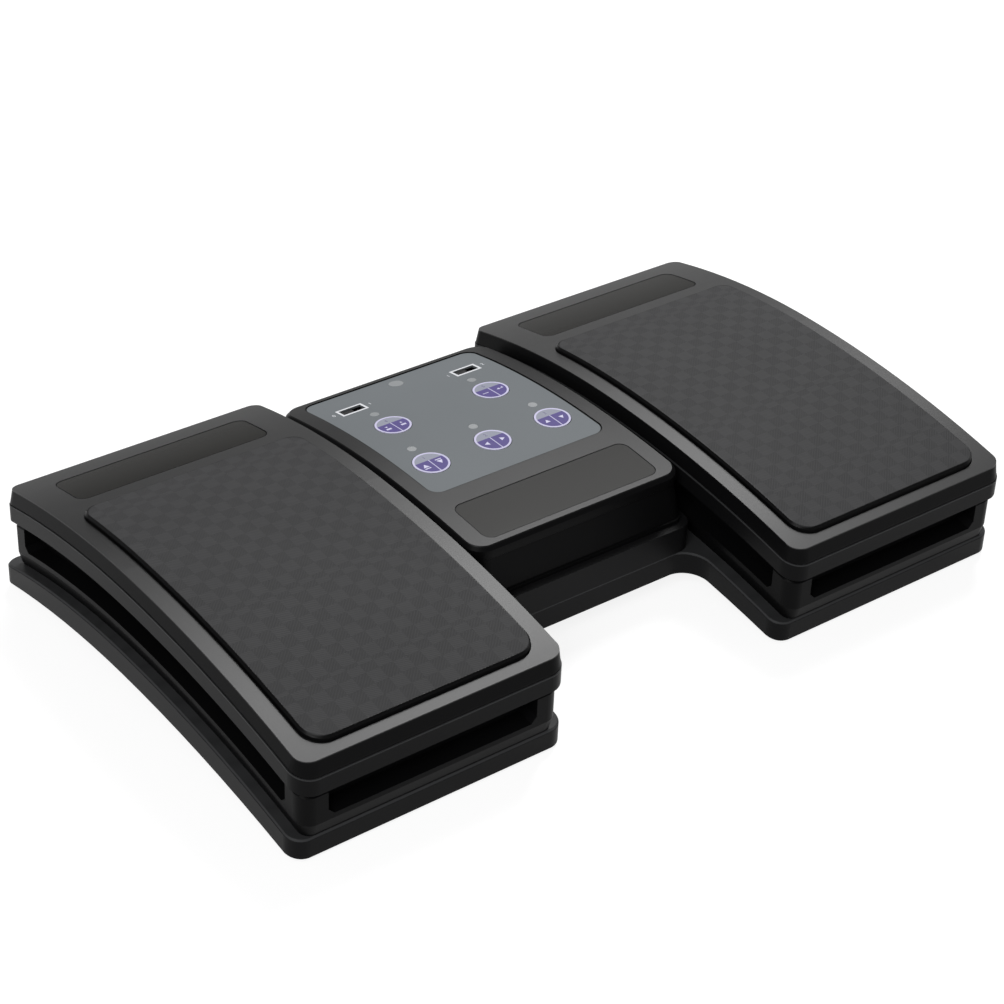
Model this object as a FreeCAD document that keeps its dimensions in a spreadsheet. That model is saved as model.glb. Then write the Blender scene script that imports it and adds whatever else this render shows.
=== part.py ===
import FreeCAD, Part
import math
import os

import Sketcher

# Wireless foot pedal: two hinged treads on one arched base, with a control module between them.
# Frame: X across the two pedals, +Y away from the user's heel, +Z up, origin under the middle.
# Lengths are millimetres. Places along Y are counted from the front edge of the treads, those of the
# control module's pieces from the front edge of the bay that it stands in, and a few from the back edge.
# A level is the height of an arched surface at its crest.

V = FreeCAD.Vector
doc = FreeCAD.newDocument("foot_pedal")

SIZES = {
    "overall": {
        "overall_width": 280.0, "overall_depth": 172.2,
        "bend_from_front": 96.2, "bend_front_radius": 430.0, "bend_back_radius": 290.0,
        "sole_front_radius": 503.0, "sole_back_radius": 340.0,
    },
    "stock": {
        "stock_reach": 110.0, "stock_low": -20.0, "stock_height": 90.0, "stock_margin": 20.0,
        "overrun": 5.0, "merge": 0.6,
    },
    "base tray": {
        "base_front_inset": 2.4, "base_tail": 3.3, "base_corner": 5.5, "bay_front_corner": 9.0,
        "bay_back_corner": 4.0, "bay_half_width": 42.8, "bay_from_back": 127.4, "bay_length": 118.4,
        "sole_level": 9.5, "floor_level": 11.8, "skirt_level": 18.2, "skirt_chamfer": 0.6,
        "sole_chamfer": 0.5, "centre_wall": 3.0, "centre_wall_level": 27.5,
        "centre_wall_corner": 5.0, "cable_window_width": 8.0, "cable_window_height": 3.0,
        "cable_window_place": 66.4, "cable_window_reach": 12.0,
    },
    "wing housing": {
        "housing_clearance": 0.4, "housing_wall": 2.4, "neck_inset": 1.4, "neck_height": 0.9,
        "tuck_inset": 1.0, "tuck_height": 4.0,
        "deck_level": 34.6, "deck_thickness": 2.2, "deck_wall": 2.0, "deck_chamfer": 1.6,
        "slot_level": 24.8, "slot_depth": 6.0, "slot_shelf": 2.0, "slot_chamfer": 2.0,
        "slot_front_end": 10.5, "slot_back_end": 9.0,
    },
    "pedal plate": {
        "plate_side_inset": 0.8, "wing_gap": 1.6, "plate_corner": 6.5, "plate_back_corner": 4.8,
        "inner_corner": 1.0,
        "plate_low_level": 34.7, "plate_floor_level": 39.6, "plate_seam_level": 41.5,
        "plate_top_level": 46.8, "plate_skin": 2.4, "plate_wall": 1.3, "cover_wall": 2.2,
        "cover_step": 0.3, "cover_draft": 0.9, "cover_draft_height": 4.6, "plate_low_chamfer": 0.9,
    },
    "tread pad": {
        "tread_side_margin": 7.4, "tread_front_margin": 5.2, "tread_from_back": 38.7,
        "tread_front_corner": 7.5, "tread_back_corner": 5.5,
        "tread_seat": 1.0, "tread_rise": 1.7, "tread_chamfer": 0.7, "tread_gap": 0.2,
    },
    "nameplates": {
        "label_from_back": 31.0, "label_depth": 18.0, "label_side_margin": 12.4, "label_corner": 3.5,
        "label_thickness": 0.7, "label_sink": 0.1, "label_gap": 0.2,
        "centre_label_place": 9.3, "centre_label_depth": 19.1, "centre_label_width": 69.0,
    },
    "hinge": {
        "hinge_from_back": 21.0, "hinge_drop": 7.0, "pin_radius": 2.0, "pin_length": 62.0,
        "pin_play": 0.05, "lug_width": 6.0, "lug_radius": 4.4, "lug_spacing": 40.0,
        "lug_window_gap": 1.2, "rib_gap": 0.4, "rib_thickness": 4.0, "rib_foot": 4.4,
    },
    "return spring": {
        "spring_from_front": 41.2, "spring_seat_high": 15.0, "spring_boss_low": 33.0,
        "spring_radius": 6.4, "wire_thickness": 1.2, "spring_end_gap": 0.1,
        "spring_well_radius": 8.6, "spring_boss_radius": 7.4, "spring_spigot_radius": 4.6,
        "spring_spigot_height": 3.0,
    },
    "stop pads": {
        "stop_from_front": 76.2, "stop_spacing": 52.0, "stop_radius": 5.0, "stop_height": 2.6,
    },
    "pedal sensor": {
        "sensor_from_front": 23.2, "magnet_radius": 3.0, "magnet_thickness": 2.2,
        "magnet_cup_wall": 1.2, "magnet_cup_height": 1.8, "magnet_play": 0.05, "magnet_seat": 1.1,
        "sensor_board_length": 24.0, "sensor_board_width": 12.0, "sensor_board_low": 20.8,
        "board_thickness": 1.6, "chip_size": 4.0, "chip_height": 1.0, "sensor_post_radius": 2.4,
        "sensor_post_spacing": 17.0,
    },
    "screws": {
        "screw_shank": 1.25, "screw_head": 2.7, "screw_head_height": 1.6, "screw_play": 0.05,
        "screw_hole": 1.6, "plate_screw_front": 14.2, "plate_screw_from_back": 33.0,
        "plate_screw_margin": 16.4, "plate_screw_reach": 5.6, "plate_boss_radius": 3.2,
        "screw_seat": 1.2, "screw_seat_radius": 3.4, "access_radius": 4.4,
        "base_screw_front": 31.2, "base_screw_from_back": 51.0, "base_screw_margin": 19.4,
        "base_screw_reach": 12.0, "base_boss_radius": 4.0, "head_recess_radius": 3.3,
        "head_recess_depth": 3.4, "base_pad_radius": 5.5, "base_pad_rise": 3.2,
        "module_screw_front": 14.4, "module_screw_back": 105.4, "module_screw_spacing": 70.0,
        "module_boss_radius": 3.2, "board_screw_reach": 3.6, "board_screw_head": 1.8,
        "board_screw_shank": 0.9, "board_screw_head_height": 1.0, "board_boss_radius": 2.4,
        "board_screw_front": 44.9, "board_screw_front_spacing": 25.0,
        "board_screw_back": 103.4, "board_screw_back_spacing": 16.0,
    },
    "feet": {
        "foot_radius": 8.0, "foot_front": 16.2, "foot_from_back": 14.0, "foot_side_margin": 14.0,
        "foot_bay_margin": 17.2, "foot_recess": 1.0, "foot_gap": 0.2,
    },
    "control module": {
        "module_half_width": 42.0, "module_front": 5.7, "module_back": 115.2,
        "module_corner": 7.0, "cover_level": 44.2, "cover_seam_level": 41.7, "lip_level": 39.6,
        "cover_skin": 3.0, "cover_chamfer": 1.3, "lip_chamfer": 0.4, "module_wall": 2.4,
        "module_top_inset": 1.2, "module_foot_inset": 0.9, "module_foot_front": 1.8,
        "module_foot_back": 117.2, "module_foot_corner": 4.0, "module_foot_level": 20.0,
        "module_draft_height": 20.0, "shadow_inset": 0.8, "shadow_height": 0.7, "plug_play": 0.3,
        "plug_reach": 0.5,
    },
    "control panel": {
        "panel_half_width": 35.0, "panel_front": 36.7, "panel_back": 111.9, "panel_corner": 4.5,
        "panel_thickness": 0.8, "panel_sink": 0.3, "panel_gap": 0.2,
    },
    "mode keys": {
        "key_radius": 6.1, "key_gap": 0.2, "key_thickness": 1.4, "key_rise": 0.15,
        "key_travel": 0.3, "key_floor_gap": 0.2, "key_well_gap": 0.5, "key_stem": 1.6,
        "key_stem_hole": 2.1, "key_front_row": 52.4, "key_back_row": 79.9,
        "key_front_pitch": 24.6, "key_back_pitch": 20.0,
        "tact_size": 6.0, "tact_height": 3.6, "tact_depth": 2.0, "tact_bore": 1.9,
    },
    "lights": {
        "light_radius": 1.6, "status_light_radius": 2.6, "light_offset": 10.6,
        "light_play": 0.05, "status_place": 106.4, "led_height": 1.0, "led_length": 2.4,
        "led_width": 1.6,
    },
    "slide switches": {
        "switch_place": 98.6, "switch_spacing": 46.8, "window_length": 8.6,
        "window_width": 3.6, "knob_length": 4.0, "knob_width": 2.8, "knob_sink": 0.4,
        "slider_length": 6.0, "slider_width": 5.0, "slider_height": 1.2, "switch_travel": 3.2,
        "switch_body_length": 13.0, "switch_body_width": 7.6, "switch_body_height": 3.1,
        "switch_play": 0.3, "switch_floor": 0.6,
    },
    "electronics": {
        "board_half_width": 31.0, "key_board_front": 40.9, "key_board_back": 110.4,
        "key_board_low": 31.0, "main_board_front": 56.4, "main_board_back": 110.4,
        "main_board_low": 23.6, "post_radius": 2.6, "post_inset": 5.0, "post_back_inset": 11.0,
        "battery_length": 56.0, "battery_width": 32.0, "battery_height": 8.0,
        "battery_front": 20.4, "battery_low": 14.6, "battery_corner": 3.0,
        "cradle_thickness": 2.0, "cradle_inset": 8.0, "socket_width": 9.0, "socket_height": 3.3,
        "socket_length": 7.4, "socket_wall": 0.35, "socket_gap": 0.2, "socket_mouth": 115.4,
        "tongue_width": 6.6, "tongue_height": 0.7, "tongue_setback": 1.2,
        "radio_length": 16.0, "radio_width": 12.0, "radio_height": 1.8, "radio_place": 10.0,
        "main_chip_size": 8.0, "chip_sink": 0.2,
    },
}

BEND = ("bend_front_radius", "bend_back_radius")
SOLE = ("sole_front_radius", "sole_back_radius")
PEG_SIDES = 8
LIGHT_SIDES = 12
ROUND_SIDES = 16
NEAR = 0.02
FLAT_ENOUGH = 0.5


def make_sheet():
    sheet = doc.addObject("Spreadsheet::Sheet", "dims")
    row = 1
    for group, values in SIZES.items():
        sheet.set("A%d" % row, group)
        row += 1
        for name, value in values.items():
            sheet.set("A%d" % row, name)
            sheet.set("B%d" % row, repr(value))
            sheet.setAlias("B%d" % row, name)
            row += 1
    doc.recompute()
    return sheet


dims = make_sheet()


def number(text):
    """The value of an expression on the sheet."""
    return float(dims.evalExpression(text))


def depth(text):
    """A place counted from the front edge of the treads, as a Y expression."""
    return "(%s - dims.overall_depth / 2)" % text


def from_back(text):
    """A place counted from the back edge of the base, as one counted from the front."""
    return "(dims.overall_depth - %s)" % text


def in_bay(text):
    """A place counted from the front edge of the bay, as one counted from the front."""
    return "(dims.overall_depth - dims.bay_from_back + %s)" % text


def drop(y, radii=BEND):
    """How far an arched surface has fallen at y, below its crest."""
    along = y - number(depth("dims.bend_from_front"))
    radius = number("dims." + (radii[0] if along < 0 else radii[1]))
    return radius - math.sqrt(radius * radius - along * along)


def bind(obj, **expressions):
    for name, text in expressions.items():
        obj.setExpression(name, text)
    return obj


def outline(name, sides, corners):
    """Closed rectilinear sketch. Sides are x, y, x, y... anticlockwise, with a radius for each corner."""
    sketch = doc.addObject("Sketcher::SketchObject", name)
    places = [number(side) for side in sides]
    radii = [number(corner) for corner in corners]
    count = len(sides)

    def corner_point(i):
        pair = (places[i % count], places[(i + 1) % count])
        return V(pair[0], pair[1], 0) if i % 2 == 0 else V(pair[1], pair[0], 0)

    points = [corner_point(i) for i in range(count)]
    runs = [(points[i] - points[i - 1]).normalize() for i in range(count)]
    starts, ends = [], []
    for i in range(count):
        ends.append(points[i] - runs[i] * radii[i])
        starts.append(points[i] + runs[(i + 1) % count] * radii[i])
    lines = [sketch.addGeometry(Part.LineSegment(starts[i - 1], ends[i])) for i in range(count)]
    for i in range(count):
        ahead = runs[(i + 1) % count]
        centre = ends[i] + ahead * radii[i]
        left_turn = runs[i].cross(ahead).z > 0
        first, last = (ends[i], starts[i]) if left_turn else (starts[i], ends[i])
        turn = [math.atan2(p.y - centre.y, p.x - centre.x) for p in (first, last)]
        if turn[1] < turn[0]:
            turn[1] += 2 * math.pi
        circle = Part.Circle(centre, V(0, 0, 1), radii[i])
        arc = sketch.addGeometry(Part.ArcOfCircle(circle, turn[0], turn[1]))
        near, far = (1, 2) if left_turn else (2, 1)
        sketch.addConstraint(Sketcher.Constraint("Tangent", lines[i], 2, arc, near))
        sketch.addConstraint(Sketcher.Constraint("Tangent", arc, far, lines[(i + 1) % count], 1))
        size = sketch.addConstraint(Sketcher.Constraint("Radius", arc, radii[i]))
        sketch.renameConstraint(size, "corner_%d" % i)
        sketch.setExpression("Constraints.corner_%d" % i, corners[i])
    for i in range(count):
        kinds = ("Vertical", "DistanceX") if i % 2 == 0 else ("Horizontal", "DistanceY")
        sketch.addConstraint(Sketcher.Constraint(kinds[0], lines[i]))
        place = sketch.addConstraint(Sketcher.Constraint(kinds[1], -1, 1, lines[i], 1, places[i]))
        sketch.renameConstraint(place, "side_%d" % i)
        sketch.setExpression("Constraints.side_%d" % i, sides[i])
    return sketch


def box_outline(name, west, south, east, north, corner, back_corner=None):
    """Rounded rectangle from its four sides."""
    back = back_corner or corner
    return outline(name, [east, north, west, south], [back, back, corner, corner])


def prism(name, sketch, low="dims.stock_low", tall="dims.stock_height"):
    """Upright solid on an outline."""
    solid = doc.addObject("Part::Extrusion", name)
    solid.Base = sketch
    solid.DirMode = "Normal"
    solid.Solid = True
    sketch.setExpression("Placement.Base.z", low)
    return bind(solid, LengthFwd=tall)


SLABS = {}


def slab(low, high, low_radii=BEND, high_radii=BEND):
    """Arched band across the whole width, between two levels."""
    key = (low, high, low_radii, high_radii)
    if key in SLABS:
        return SLABS[key]
    sketch = doc.addObject("Sketcher::SketchObject", "band_%d" % (len(SLABS) + 1))
    crest = number(depth("dims.bend_from_front"))
    reach = number("dims.stock_reach")

    def name_size(index, label, text):
        sketch.renameConstraint(index, label)
        sketch.setExpression("Constraints." + label, text)

    def chain(label, level, radii):
        """Front and back arcs that meet at the crest."""
        arcs = []
        for part, radius_name in zip(("front", "back"), radii):
            radius = number("dims." + radius_name)
            centre = V(crest, number(level) - radius, 0)
            far = math.asin((reach + crest if part == "front" else reach - crest) / radius)
            upright = math.pi / 2
            turn = (upright, upright + far) if part == "front" else (upright - far, upright)
            circle = Part.Circle(centre, V(0, 0, 1), radius)
            arc = sketch.addGeometry(Part.ArcOfCircle(circle, turn[0], turn[1]))
            arcs.append(arc)
            tag = label + "_" + part
            name_size(sketch.addConstraint(Sketcher.Constraint("Radius", arc, radius)),
                      tag + "_radius", "dims." + radius_name)
            name_size(sketch.addConstraint(Sketcher.Constraint("DistanceX", -1, 1, arc, 3, crest)),
                      tag + "_centre", depth("dims.bend_from_front"))
        front, back = arcs
        centre_height = number(level) - number("dims." + radii[0])
        name_size(sketch.addConstraint(Sketcher.Constraint("DistanceY", -1, 1, front, 3, centre_height)),
                  label + "_depth", "%s - dims.%s" % (level, radii[0]))
        name_size(sketch.addConstraint(Sketcher.Constraint("DistanceX", -1, 1, front, 1, crest)),
                  label + "_crest", depth("dims.bend_from_front"))
        sketch.addConstraint(Sketcher.Constraint("Coincident", back, 2, front, 1))
        return front, back

    low_front, low_back = chain("low", low, low_radii)
    high_front, high_back = chain("high", high, high_radii)
    ends = [sketch.Geometry[i].EndPoint if i in (low_front, high_front) else sketch.Geometry[i].StartPoint
            for i in (low_front, low_back, high_back, high_front)]
    back_line = sketch.addGeometry(Part.LineSegment(ends[1], ends[2]))
    front_line = sketch.addGeometry(Part.LineSegment(ends[3], ends[0]))
    for line, label, sign in ((front_line, "front_end", "-"), (back_line, "back_end", "")):
        sketch.addConstraint(Sketcher.Constraint("Vertical", line))
        place = reach if sign == "" else -reach
        name_size(sketch.addConstraint(Sketcher.Constraint("DistanceX", -1, 1, line, 1, place)),
                  label, sign + "dims.stock_reach")
    for pair in ((low_back, 1, back_line, 1), (back_line, 2, high_back, 1),
                 (high_front, 2, front_line, 1), (front_line, 2, low_front, 2)):
        sketch.addConstraint(Sketcher.Constraint("Coincident", *pair))
    sketch.Placement = FreeCAD.Placement(V(0, 0, 0), FreeCAD.Rotation(V(1, 1, 1), 120))
    band = doc.addObject("Part::Extrusion", "slab_%d" % (len(SLABS) + 1))
    band.Base = sketch
    band.DirMode = "Normal"
    band.Solid = True
    band.Symmetric = True
    bind(band, LengthFwd="dims.overall_width + dims.stock_margin")
    SLABS[key] = band
    return band


def common(name, *parts):
    obj = doc.addObject("Part::MultiCommon", name)
    obj.Shapes = list(parts)
    obj.Refine = False
    return obj


def fuse(name, *parts):
    obj = doc.addObject("Part::MultiFuse", name)
    obj.Shapes = list(parts)
    obj.Refine = True
    return obj


CUTS = []


def cut(name, base, *tools):
    """Base less its tools. The cut is remembered, so that the check can see that it removed something."""
    tool = tools[0] if len(tools) == 1 else fuse(name + "_tools", *tools)
    obj = doc.addObject("Part::Cut", name)
    obj.Base = base
    obj.Tool = tool
    obj.Refine = True
    CUTS.append(obj)
    return obj


def bent(name, sketch, low, high, low_radii=BEND, high_radii=BEND):
    """Piece with a plan outline and arched top and bottom."""
    return common(name, prism(name + "_stock", sketch), slab(low, high, low_radii, high_radii))


def rims(shape, level, radii):
    """Numbers of the edges that bound an arched surface, without the straight line along its crest."""
    found = []
    for index, edge in enumerate(shape.Edges, 1):
        middle = edge.valueAt((edge.FirstParameter + edge.LastParameter) / 2)
        on_surface = abs(middle.z - (number(level) - drop(middle.y, radii))) < NEAR
        upright = edge.BoundBox.XLength < NEAR and edge.BoundBox.YLength < NEAR
        from_crest = abs(middle.y - number(depth("dims.bend_from_front")))
        across_crest = edge.BoundBox.YLength < NEAR and from_crest < NEAR
        if on_surface and not upright and not across_crest:
            found.append(index)
    return found


def edged(name, base, level, inset, rise=None, radii=BEND, pick=None):
    """Chamfer on the edges of one arched surface, by an inset along it and a rise along its sides."""
    doc.recompute()
    shape = base.Shape
    along, across = number(inset), number(rise or inset)
    sizes = []
    for index in rims(shape, level, radii):
        edge = shape.Edges[index - 1]
        if pick and not pick(edge):
            continue
        face = shape.ancestorsOfType(edge, Part.Face)[0]
        u_low, u_high, v_low, v_high = face.ParameterRange
        level_face = abs(face.normalAt((u_low + u_high) / 2, (v_low + v_high) / 2).z) > FLAT_ENOUGH
        sizes.append((index, along, across) if level_face else (index, across, along))
    obj = doc.addObject("Part::Chamfer", name)
    obj.Base = base
    obj.Edges = sizes
    return obj


def place_at(obj, x, y, z):
    for axis, text in zip("xyz", (x, y, z)):
        obj.setExpression("Placement.Base." + axis, text)
    return obj


def cylinder(name, x, from_front, z, radius, tall):
    """Upright round piece on its low end."""
    obj = place_at(doc.addObject("Part::Cylinder", name), x, depth(from_front), z)
    return bind(obj, Radius=radius, Height=tall)


def rod(name, x, from_front, z, radius, length):
    """Round piece along X, centred on its place."""
    obj = doc.addObject("Part::Cylinder", name)
    obj.Placement = FreeCAD.Placement(V(0, 0, 0), FreeCAD.Rotation(V(0, 1, 0), 90))
    place_at(obj, "%s - (%s) / 2" % (x, length), depth(from_front), z)
    return bind(obj, Radius=radius, Height=length)


def peg(name, x, from_front, z, radius, tall, sides=PEG_SIDES):
    """Upright many-sided piece, for the round forms that are small or hidden."""
    obj = place_at(doc.addObject("Part::Prism", name), x, depth(from_front), z)
    obj.Polygon = sides
    return bind(obj, Circumradius=radius, Height=tall)


def block(name, x, from_front, z, size_x, size_y, size_z):
    """Box from its middle in X and Y, and its low face."""
    obj = doc.addObject("Part::Box", name)
    place_at(obj, "%s - (%s) / 2" % (x, size_x), "%s - (%s) / 2" % (depth(from_front), size_y), z)
    return bind(obj, Length=size_x, Width=size_y, Height=size_z)


def arched(level, from_front, radii=BEND):
    """Expression for the height of an arched surface at a place that lies before or behind the crest."""
    along = "(%s - dims.bend_from_front)" % from_front
    radius = "dims." + (radii[0] if number(along) < 0 else radii[1])
    return "(%s - %s + sqrt(%s * %s - %s * %s))" % (level, radius, radius, radius, along, along)


def through(name, x, from_front, radius, sides=PEG_SIDES):
    """Many-sided cutter through the whole height."""
    return peg(name, x, from_front, "dims.stock_low", radius, "dims.stock_height", sides)


def round_through(name, x, from_front, radius):
    """Round cutter through the whole height."""
    return cylinder(name, x, from_front, "dims.stock_low", radius, "dims.stock_height")


def post(name, x, from_front, radius, low, high, radii=BEND, sides=PEG_SIDES):
    """Upright many-sided piece between two arched surfaces."""
    stock = through(name + "_stock", x, from_front, radius, sides)
    return common(name, stock, slab(low, high, radii, radii))


def gather(name, parts):
    obj = doc.addObject("Part::Compound", name)
    obj.Links = list(parts)
    return obj


PIECES = {}


def keep(label, obj):
    """Name a finished sub-part. Its label is the name of its file."""
    obj.Label = label
    PIECES[label] = obj
    return obj


FRONT = "(0 - dims.overall_depth / 2)"
BACK = "(dims.overall_depth / 2)"
WEST = "(dims.plate_side_inset - dims.overall_width / 2)"
EAST = "(0 - dims.bay_half_width - dims.wing_gap)"
MIDDLE = "((%s + %s) / 2)" % (WEST, EAST)
PLATE_BACK = "(%s - dims.base_tail)" % BACK
HOUSING_INSET = "(dims.plate_wall + dims.housing_clearance)"
CAVITY_INSET = "(%s + dims.housing_wall)" % HOUSING_INSET
SLOT_INSET = "(%s + dims.slot_depth)" % HOUSING_INSET
HINGE = from_back("dims.hinge_from_back")
HINGE_HEIGHT = "(%s - dims.hinge_drop)" % arched("dims.deck_level", HINGE)
FLOOR = "dims.plate_floor_level"
COVER_ROOF = "(dims.plate_top_level - dims.plate_skin)"
DECK_ROOF = "(dims.deck_level - dims.deck_thickness)"
SHANK_BORE = "(dims.screw_shank + dims.screw_play)"


def plate_outline(name, inset="0"):
    """Plan of the left pedal plate, drawn in by an inset."""
    return box_outline(name, "%s + %s" % (WEST, inset), "%s + %s" % (FRONT, inset),
                       "%s - %s" % (EAST, inset), "%s - %s" % (PLATE_BACK, inset),
                       "max(dims.inner_corner; dims.plate_corner - %s)" % inset,
                       "max(dims.inner_corner; dims.plate_back_corner - %s)" % inset)


def label_outline(name, gap="0"):
    front = depth(from_back("dims.label_from_back"))
    return box_outline(name, "%s + dims.label_side_margin - %s" % (WEST, gap), "%s - %s" % (front, gap),
                       "%s - dims.label_side_margin + %s" % (EAST, gap),
                       "%s + dims.label_depth + %s" % (front, gap), "dims.label_corner + %s" % gap)


def tread_outline(name, gap="0"):
    return box_outline(name, "%s + dims.tread_side_margin - %s" % (WEST, gap),
                       "%s + dims.tread_front_margin - %s" % (FRONT, gap),
                       "%s - dims.tread_side_margin + %s" % (EAST, gap),
                       "%s + %s" % (depth(from_back("dims.tread_from_back")), gap),
                       "dims.tread_front_corner + %s" % gap, "dims.tread_back_corner + %s" % gap)


def wing_pairs(margin, *rows):
    """Places near the two sides of the left plate, one pair for each row."""
    return [(x, row) for row in rows
            for x in ("(%s + dims.%s)" % (WEST, margin), "(%s - dims.%s)" % (EAST, margin))]


def either_side(x, spacing):
    """Places half a spacing either side of x."""
    return ["(%s + %d * dims.%s / 2)" % (x, side, spacing) for side in (-1, 1)]


PLATE_SCREWS = wing_pairs("plate_screw_margin", "dims.plate_screw_front",
                          from_back("dims.plate_screw_from_back"))
WING_SCREWS = wing_pairs("base_screw_margin", "dims.base_screw_front",
                         from_back("dims.base_screw_from_back"))
MODULE_SCREWS = [(x, in_bay("dims.module_screw_" + row)) for row in ("front", "back")
                 for x in either_side("0", "module_screw_spacing")]
BOARD_SCREWS = [(x, in_bay("dims.board_screw_" + row)) for row in ("front", "back")
                for x in either_side("0", "board_screw_%s_spacing" % row)]
LUGS = either_side(MIDDLE, "lug_spacing")
FEET = [(x, y) for y in ("dims.foot_front", from_back("dims.foot_from_back"))
        for x in ("(dims.foot_side_margin - dims.overall_width / 2)",
                  "(0 - dims.bay_half_width - dims.foot_bay_margin)")]
KEYS = [("-dims.key_back_pitch", in_bay("dims.key_back_row")),
        ("dims.key_back_pitch", in_bay("dims.key_back_row")),
        ("-dims.key_front_pitch", in_bay("dims.key_front_row")),
        ("0", in_bay("dims.key_front_row")),
        ("dims.key_front_pitch", in_bay("dims.key_front_row"))]
LIGHTS = [(x, "(%s + dims.light_offset)" % y) for x, y in KEYS]
STATUS = ("0", in_bay("dims.status_place"))
SWITCHES = dict(zip(("left", "right"), either_side("0", "switch_spacing")))
SWITCH_PLACE = in_bay("dims.switch_place")
PANEL_TOP = "dims.cover_level - dims.panel_sink"
PANEL_LOW = PANEL_TOP + " - dims.panel_thickness"
KEY_BOARD_TOP = "(dims.key_board_low + dims.board_thickness)"
MAIN_BOARD_TOP = "(dims.main_board_low + dims.board_thickness)"


def make_top_cover():
    shell = bent("top_cover_shell", plate_outline("top_cover_plan", "dims.cover_step"),
                 "dims.plate_seam_level", "dims.plate_top_level")
    shell = edged("top_cover_sides", shell, "dims.plate_top_level", "dims.cover_draft",
                  "dims.cover_draft_height")
    hollow = bent("top_cover_hollow", plate_outline("top_cover_hollow_plan", "dims.cover_wall"),
                  "dims.plate_seam_level - dims.overrun", COVER_ROOF)
    tread_seat = bent("tread_recess", tread_outline("tread_recess_plan", "dims.tread_gap"),
                      "dims.plate_top_level - dims.tread_seat", "dims.plate_top_level + dims.overrun")
    label_seat = bent("label_recess", label_outline("label_recess_plan", "dims.label_gap"),
                      "dims.plate_top_level - dims.label_thickness - dims.label_sink",
                      "dims.plate_top_level + dims.overrun")
    cover = cut("top_cover_hollowed", shell, hollow, tread_seat, label_seat)
    bosses = [post("plate_boss_%d" % i, x, y, "dims.plate_boss_radius", "dims.plate_seam_level",
                   COVER_ROOF + " + dims.merge")
              for i, (x, y) in enumerate(PLATE_SCREWS)]
    pilots = [post("plate_pilot_%d" % i, x, y, SHANK_BORE,
                   "dims.plate_seam_level - dims.overrun", COVER_ROOF)
              for i, (x, y) in enumerate(PLATE_SCREWS)]
    keep("left_top_cover", cut("left_top_cover", fuse("top_cover_bossed", cover, *bosses), *pilots))


def make_lower_cover():
    shell = bent("lower_cover_shell", plate_outline("lower_cover_plan"),
                 "dims.plate_low_level", "dims.plate_seam_level")
    shell = edged("lower_cover_foot", shell, "dims.plate_low_level", "dims.plate_low_chamfer")
    hollow = bent("lower_cover_hollow", plate_outline("lower_cover_hollow_plan", "dims.plate_wall"),
                  "dims.plate_low_level - dims.overrun", FLOOR)
    tray = cut("lower_cover_hollowed", shell, hollow)
    grown, holes = [], []
    for i, (x, y) in enumerate(PLATE_SCREWS):
        seat = "(%s - dims.screw_seat)" % arched(FLOOR, y)
        grown.append(peg("screw_seat_%d" % i, x, y, seat, "dims.screw_seat_radius",
                         "dims.screw_seat + dims.merge"))
        holes.append(through("plate_screw_hole_%d" % i, x, y, "dims.screw_hole"))
    spring_y = "dims.spring_from_front"
    grown.append(peg("spring_boss", MIDDLE, spring_y, "dims.spring_boss_low", "dims.spring_boss_radius",
                     "%s + dims.merge - dims.spring_boss_low" % arched(FLOOR, spring_y)))
    for i, x in enumerate(LUGS):
        grown.append(block("lug_web_%d" % i, x, HINGE, HINGE_HEIGHT, "dims.lug_width",
                           "2 * dims.lug_radius",
                           "%s + dims.merge - %s" % (arched(FLOOR, HINGE), HINGE_HEIGHT)))
        grown.append(rod("lug_eye_%d" % i, x, HINGE, HINGE_HEIGHT, "dims.lug_radius", "dims.lug_width"))
    holes.append(rod("lug_bore", MIDDLE, HINGE, HINGE_HEIGHT, "dims.pin_radius + dims.pin_play",
                     "dims.pin_length"))
    sensor_y = "dims.sensor_from_front"
    cup_foot = arched(FLOOR, sensor_y)
    grown.append(cylinder("magnet_cup", MIDDLE, sensor_y, cup_foot + " + dims.magnet_seat",
                          "dims.magnet_radius + dims.magnet_play + dims.magnet_cup_wall",
                          "dims.magnet_cup_height"))
    holes.append(cylinder("magnet_pocket", MIDDLE, sensor_y, cup_foot + " + dims.magnet_seat",
                          "dims.magnet_radius + dims.magnet_play", "dims.magnet_thickness + dims.overrun"))
    keep("left_lower_cover", cut("left_lower_cover", fuse("lower_cover_grown", tray, *grown), *holes))


def make_tread_and_label():
    crown = "dims.plate_top_level + dims.tread_rise"
    pad = bent("tread_pad_body", tread_outline("tread_pad_plan"),
               "dims.plate_top_level - dims.tread_seat", crown)
    keep("left_tread_pad", edged("left_tread_pad", pad, crown, "dims.tread_chamfer"))
    face = "dims.plate_top_level - dims.label_sink"
    keep("left_nameplate", bent("left_nameplate", label_outline("nameplate_plan"),
                                face + " - dims.label_thickness", face))


def span(edge, axis):
    """Reach of an edge along one axis."""
    return getattr(edge.BoundBox, axis + "Length")


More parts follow.
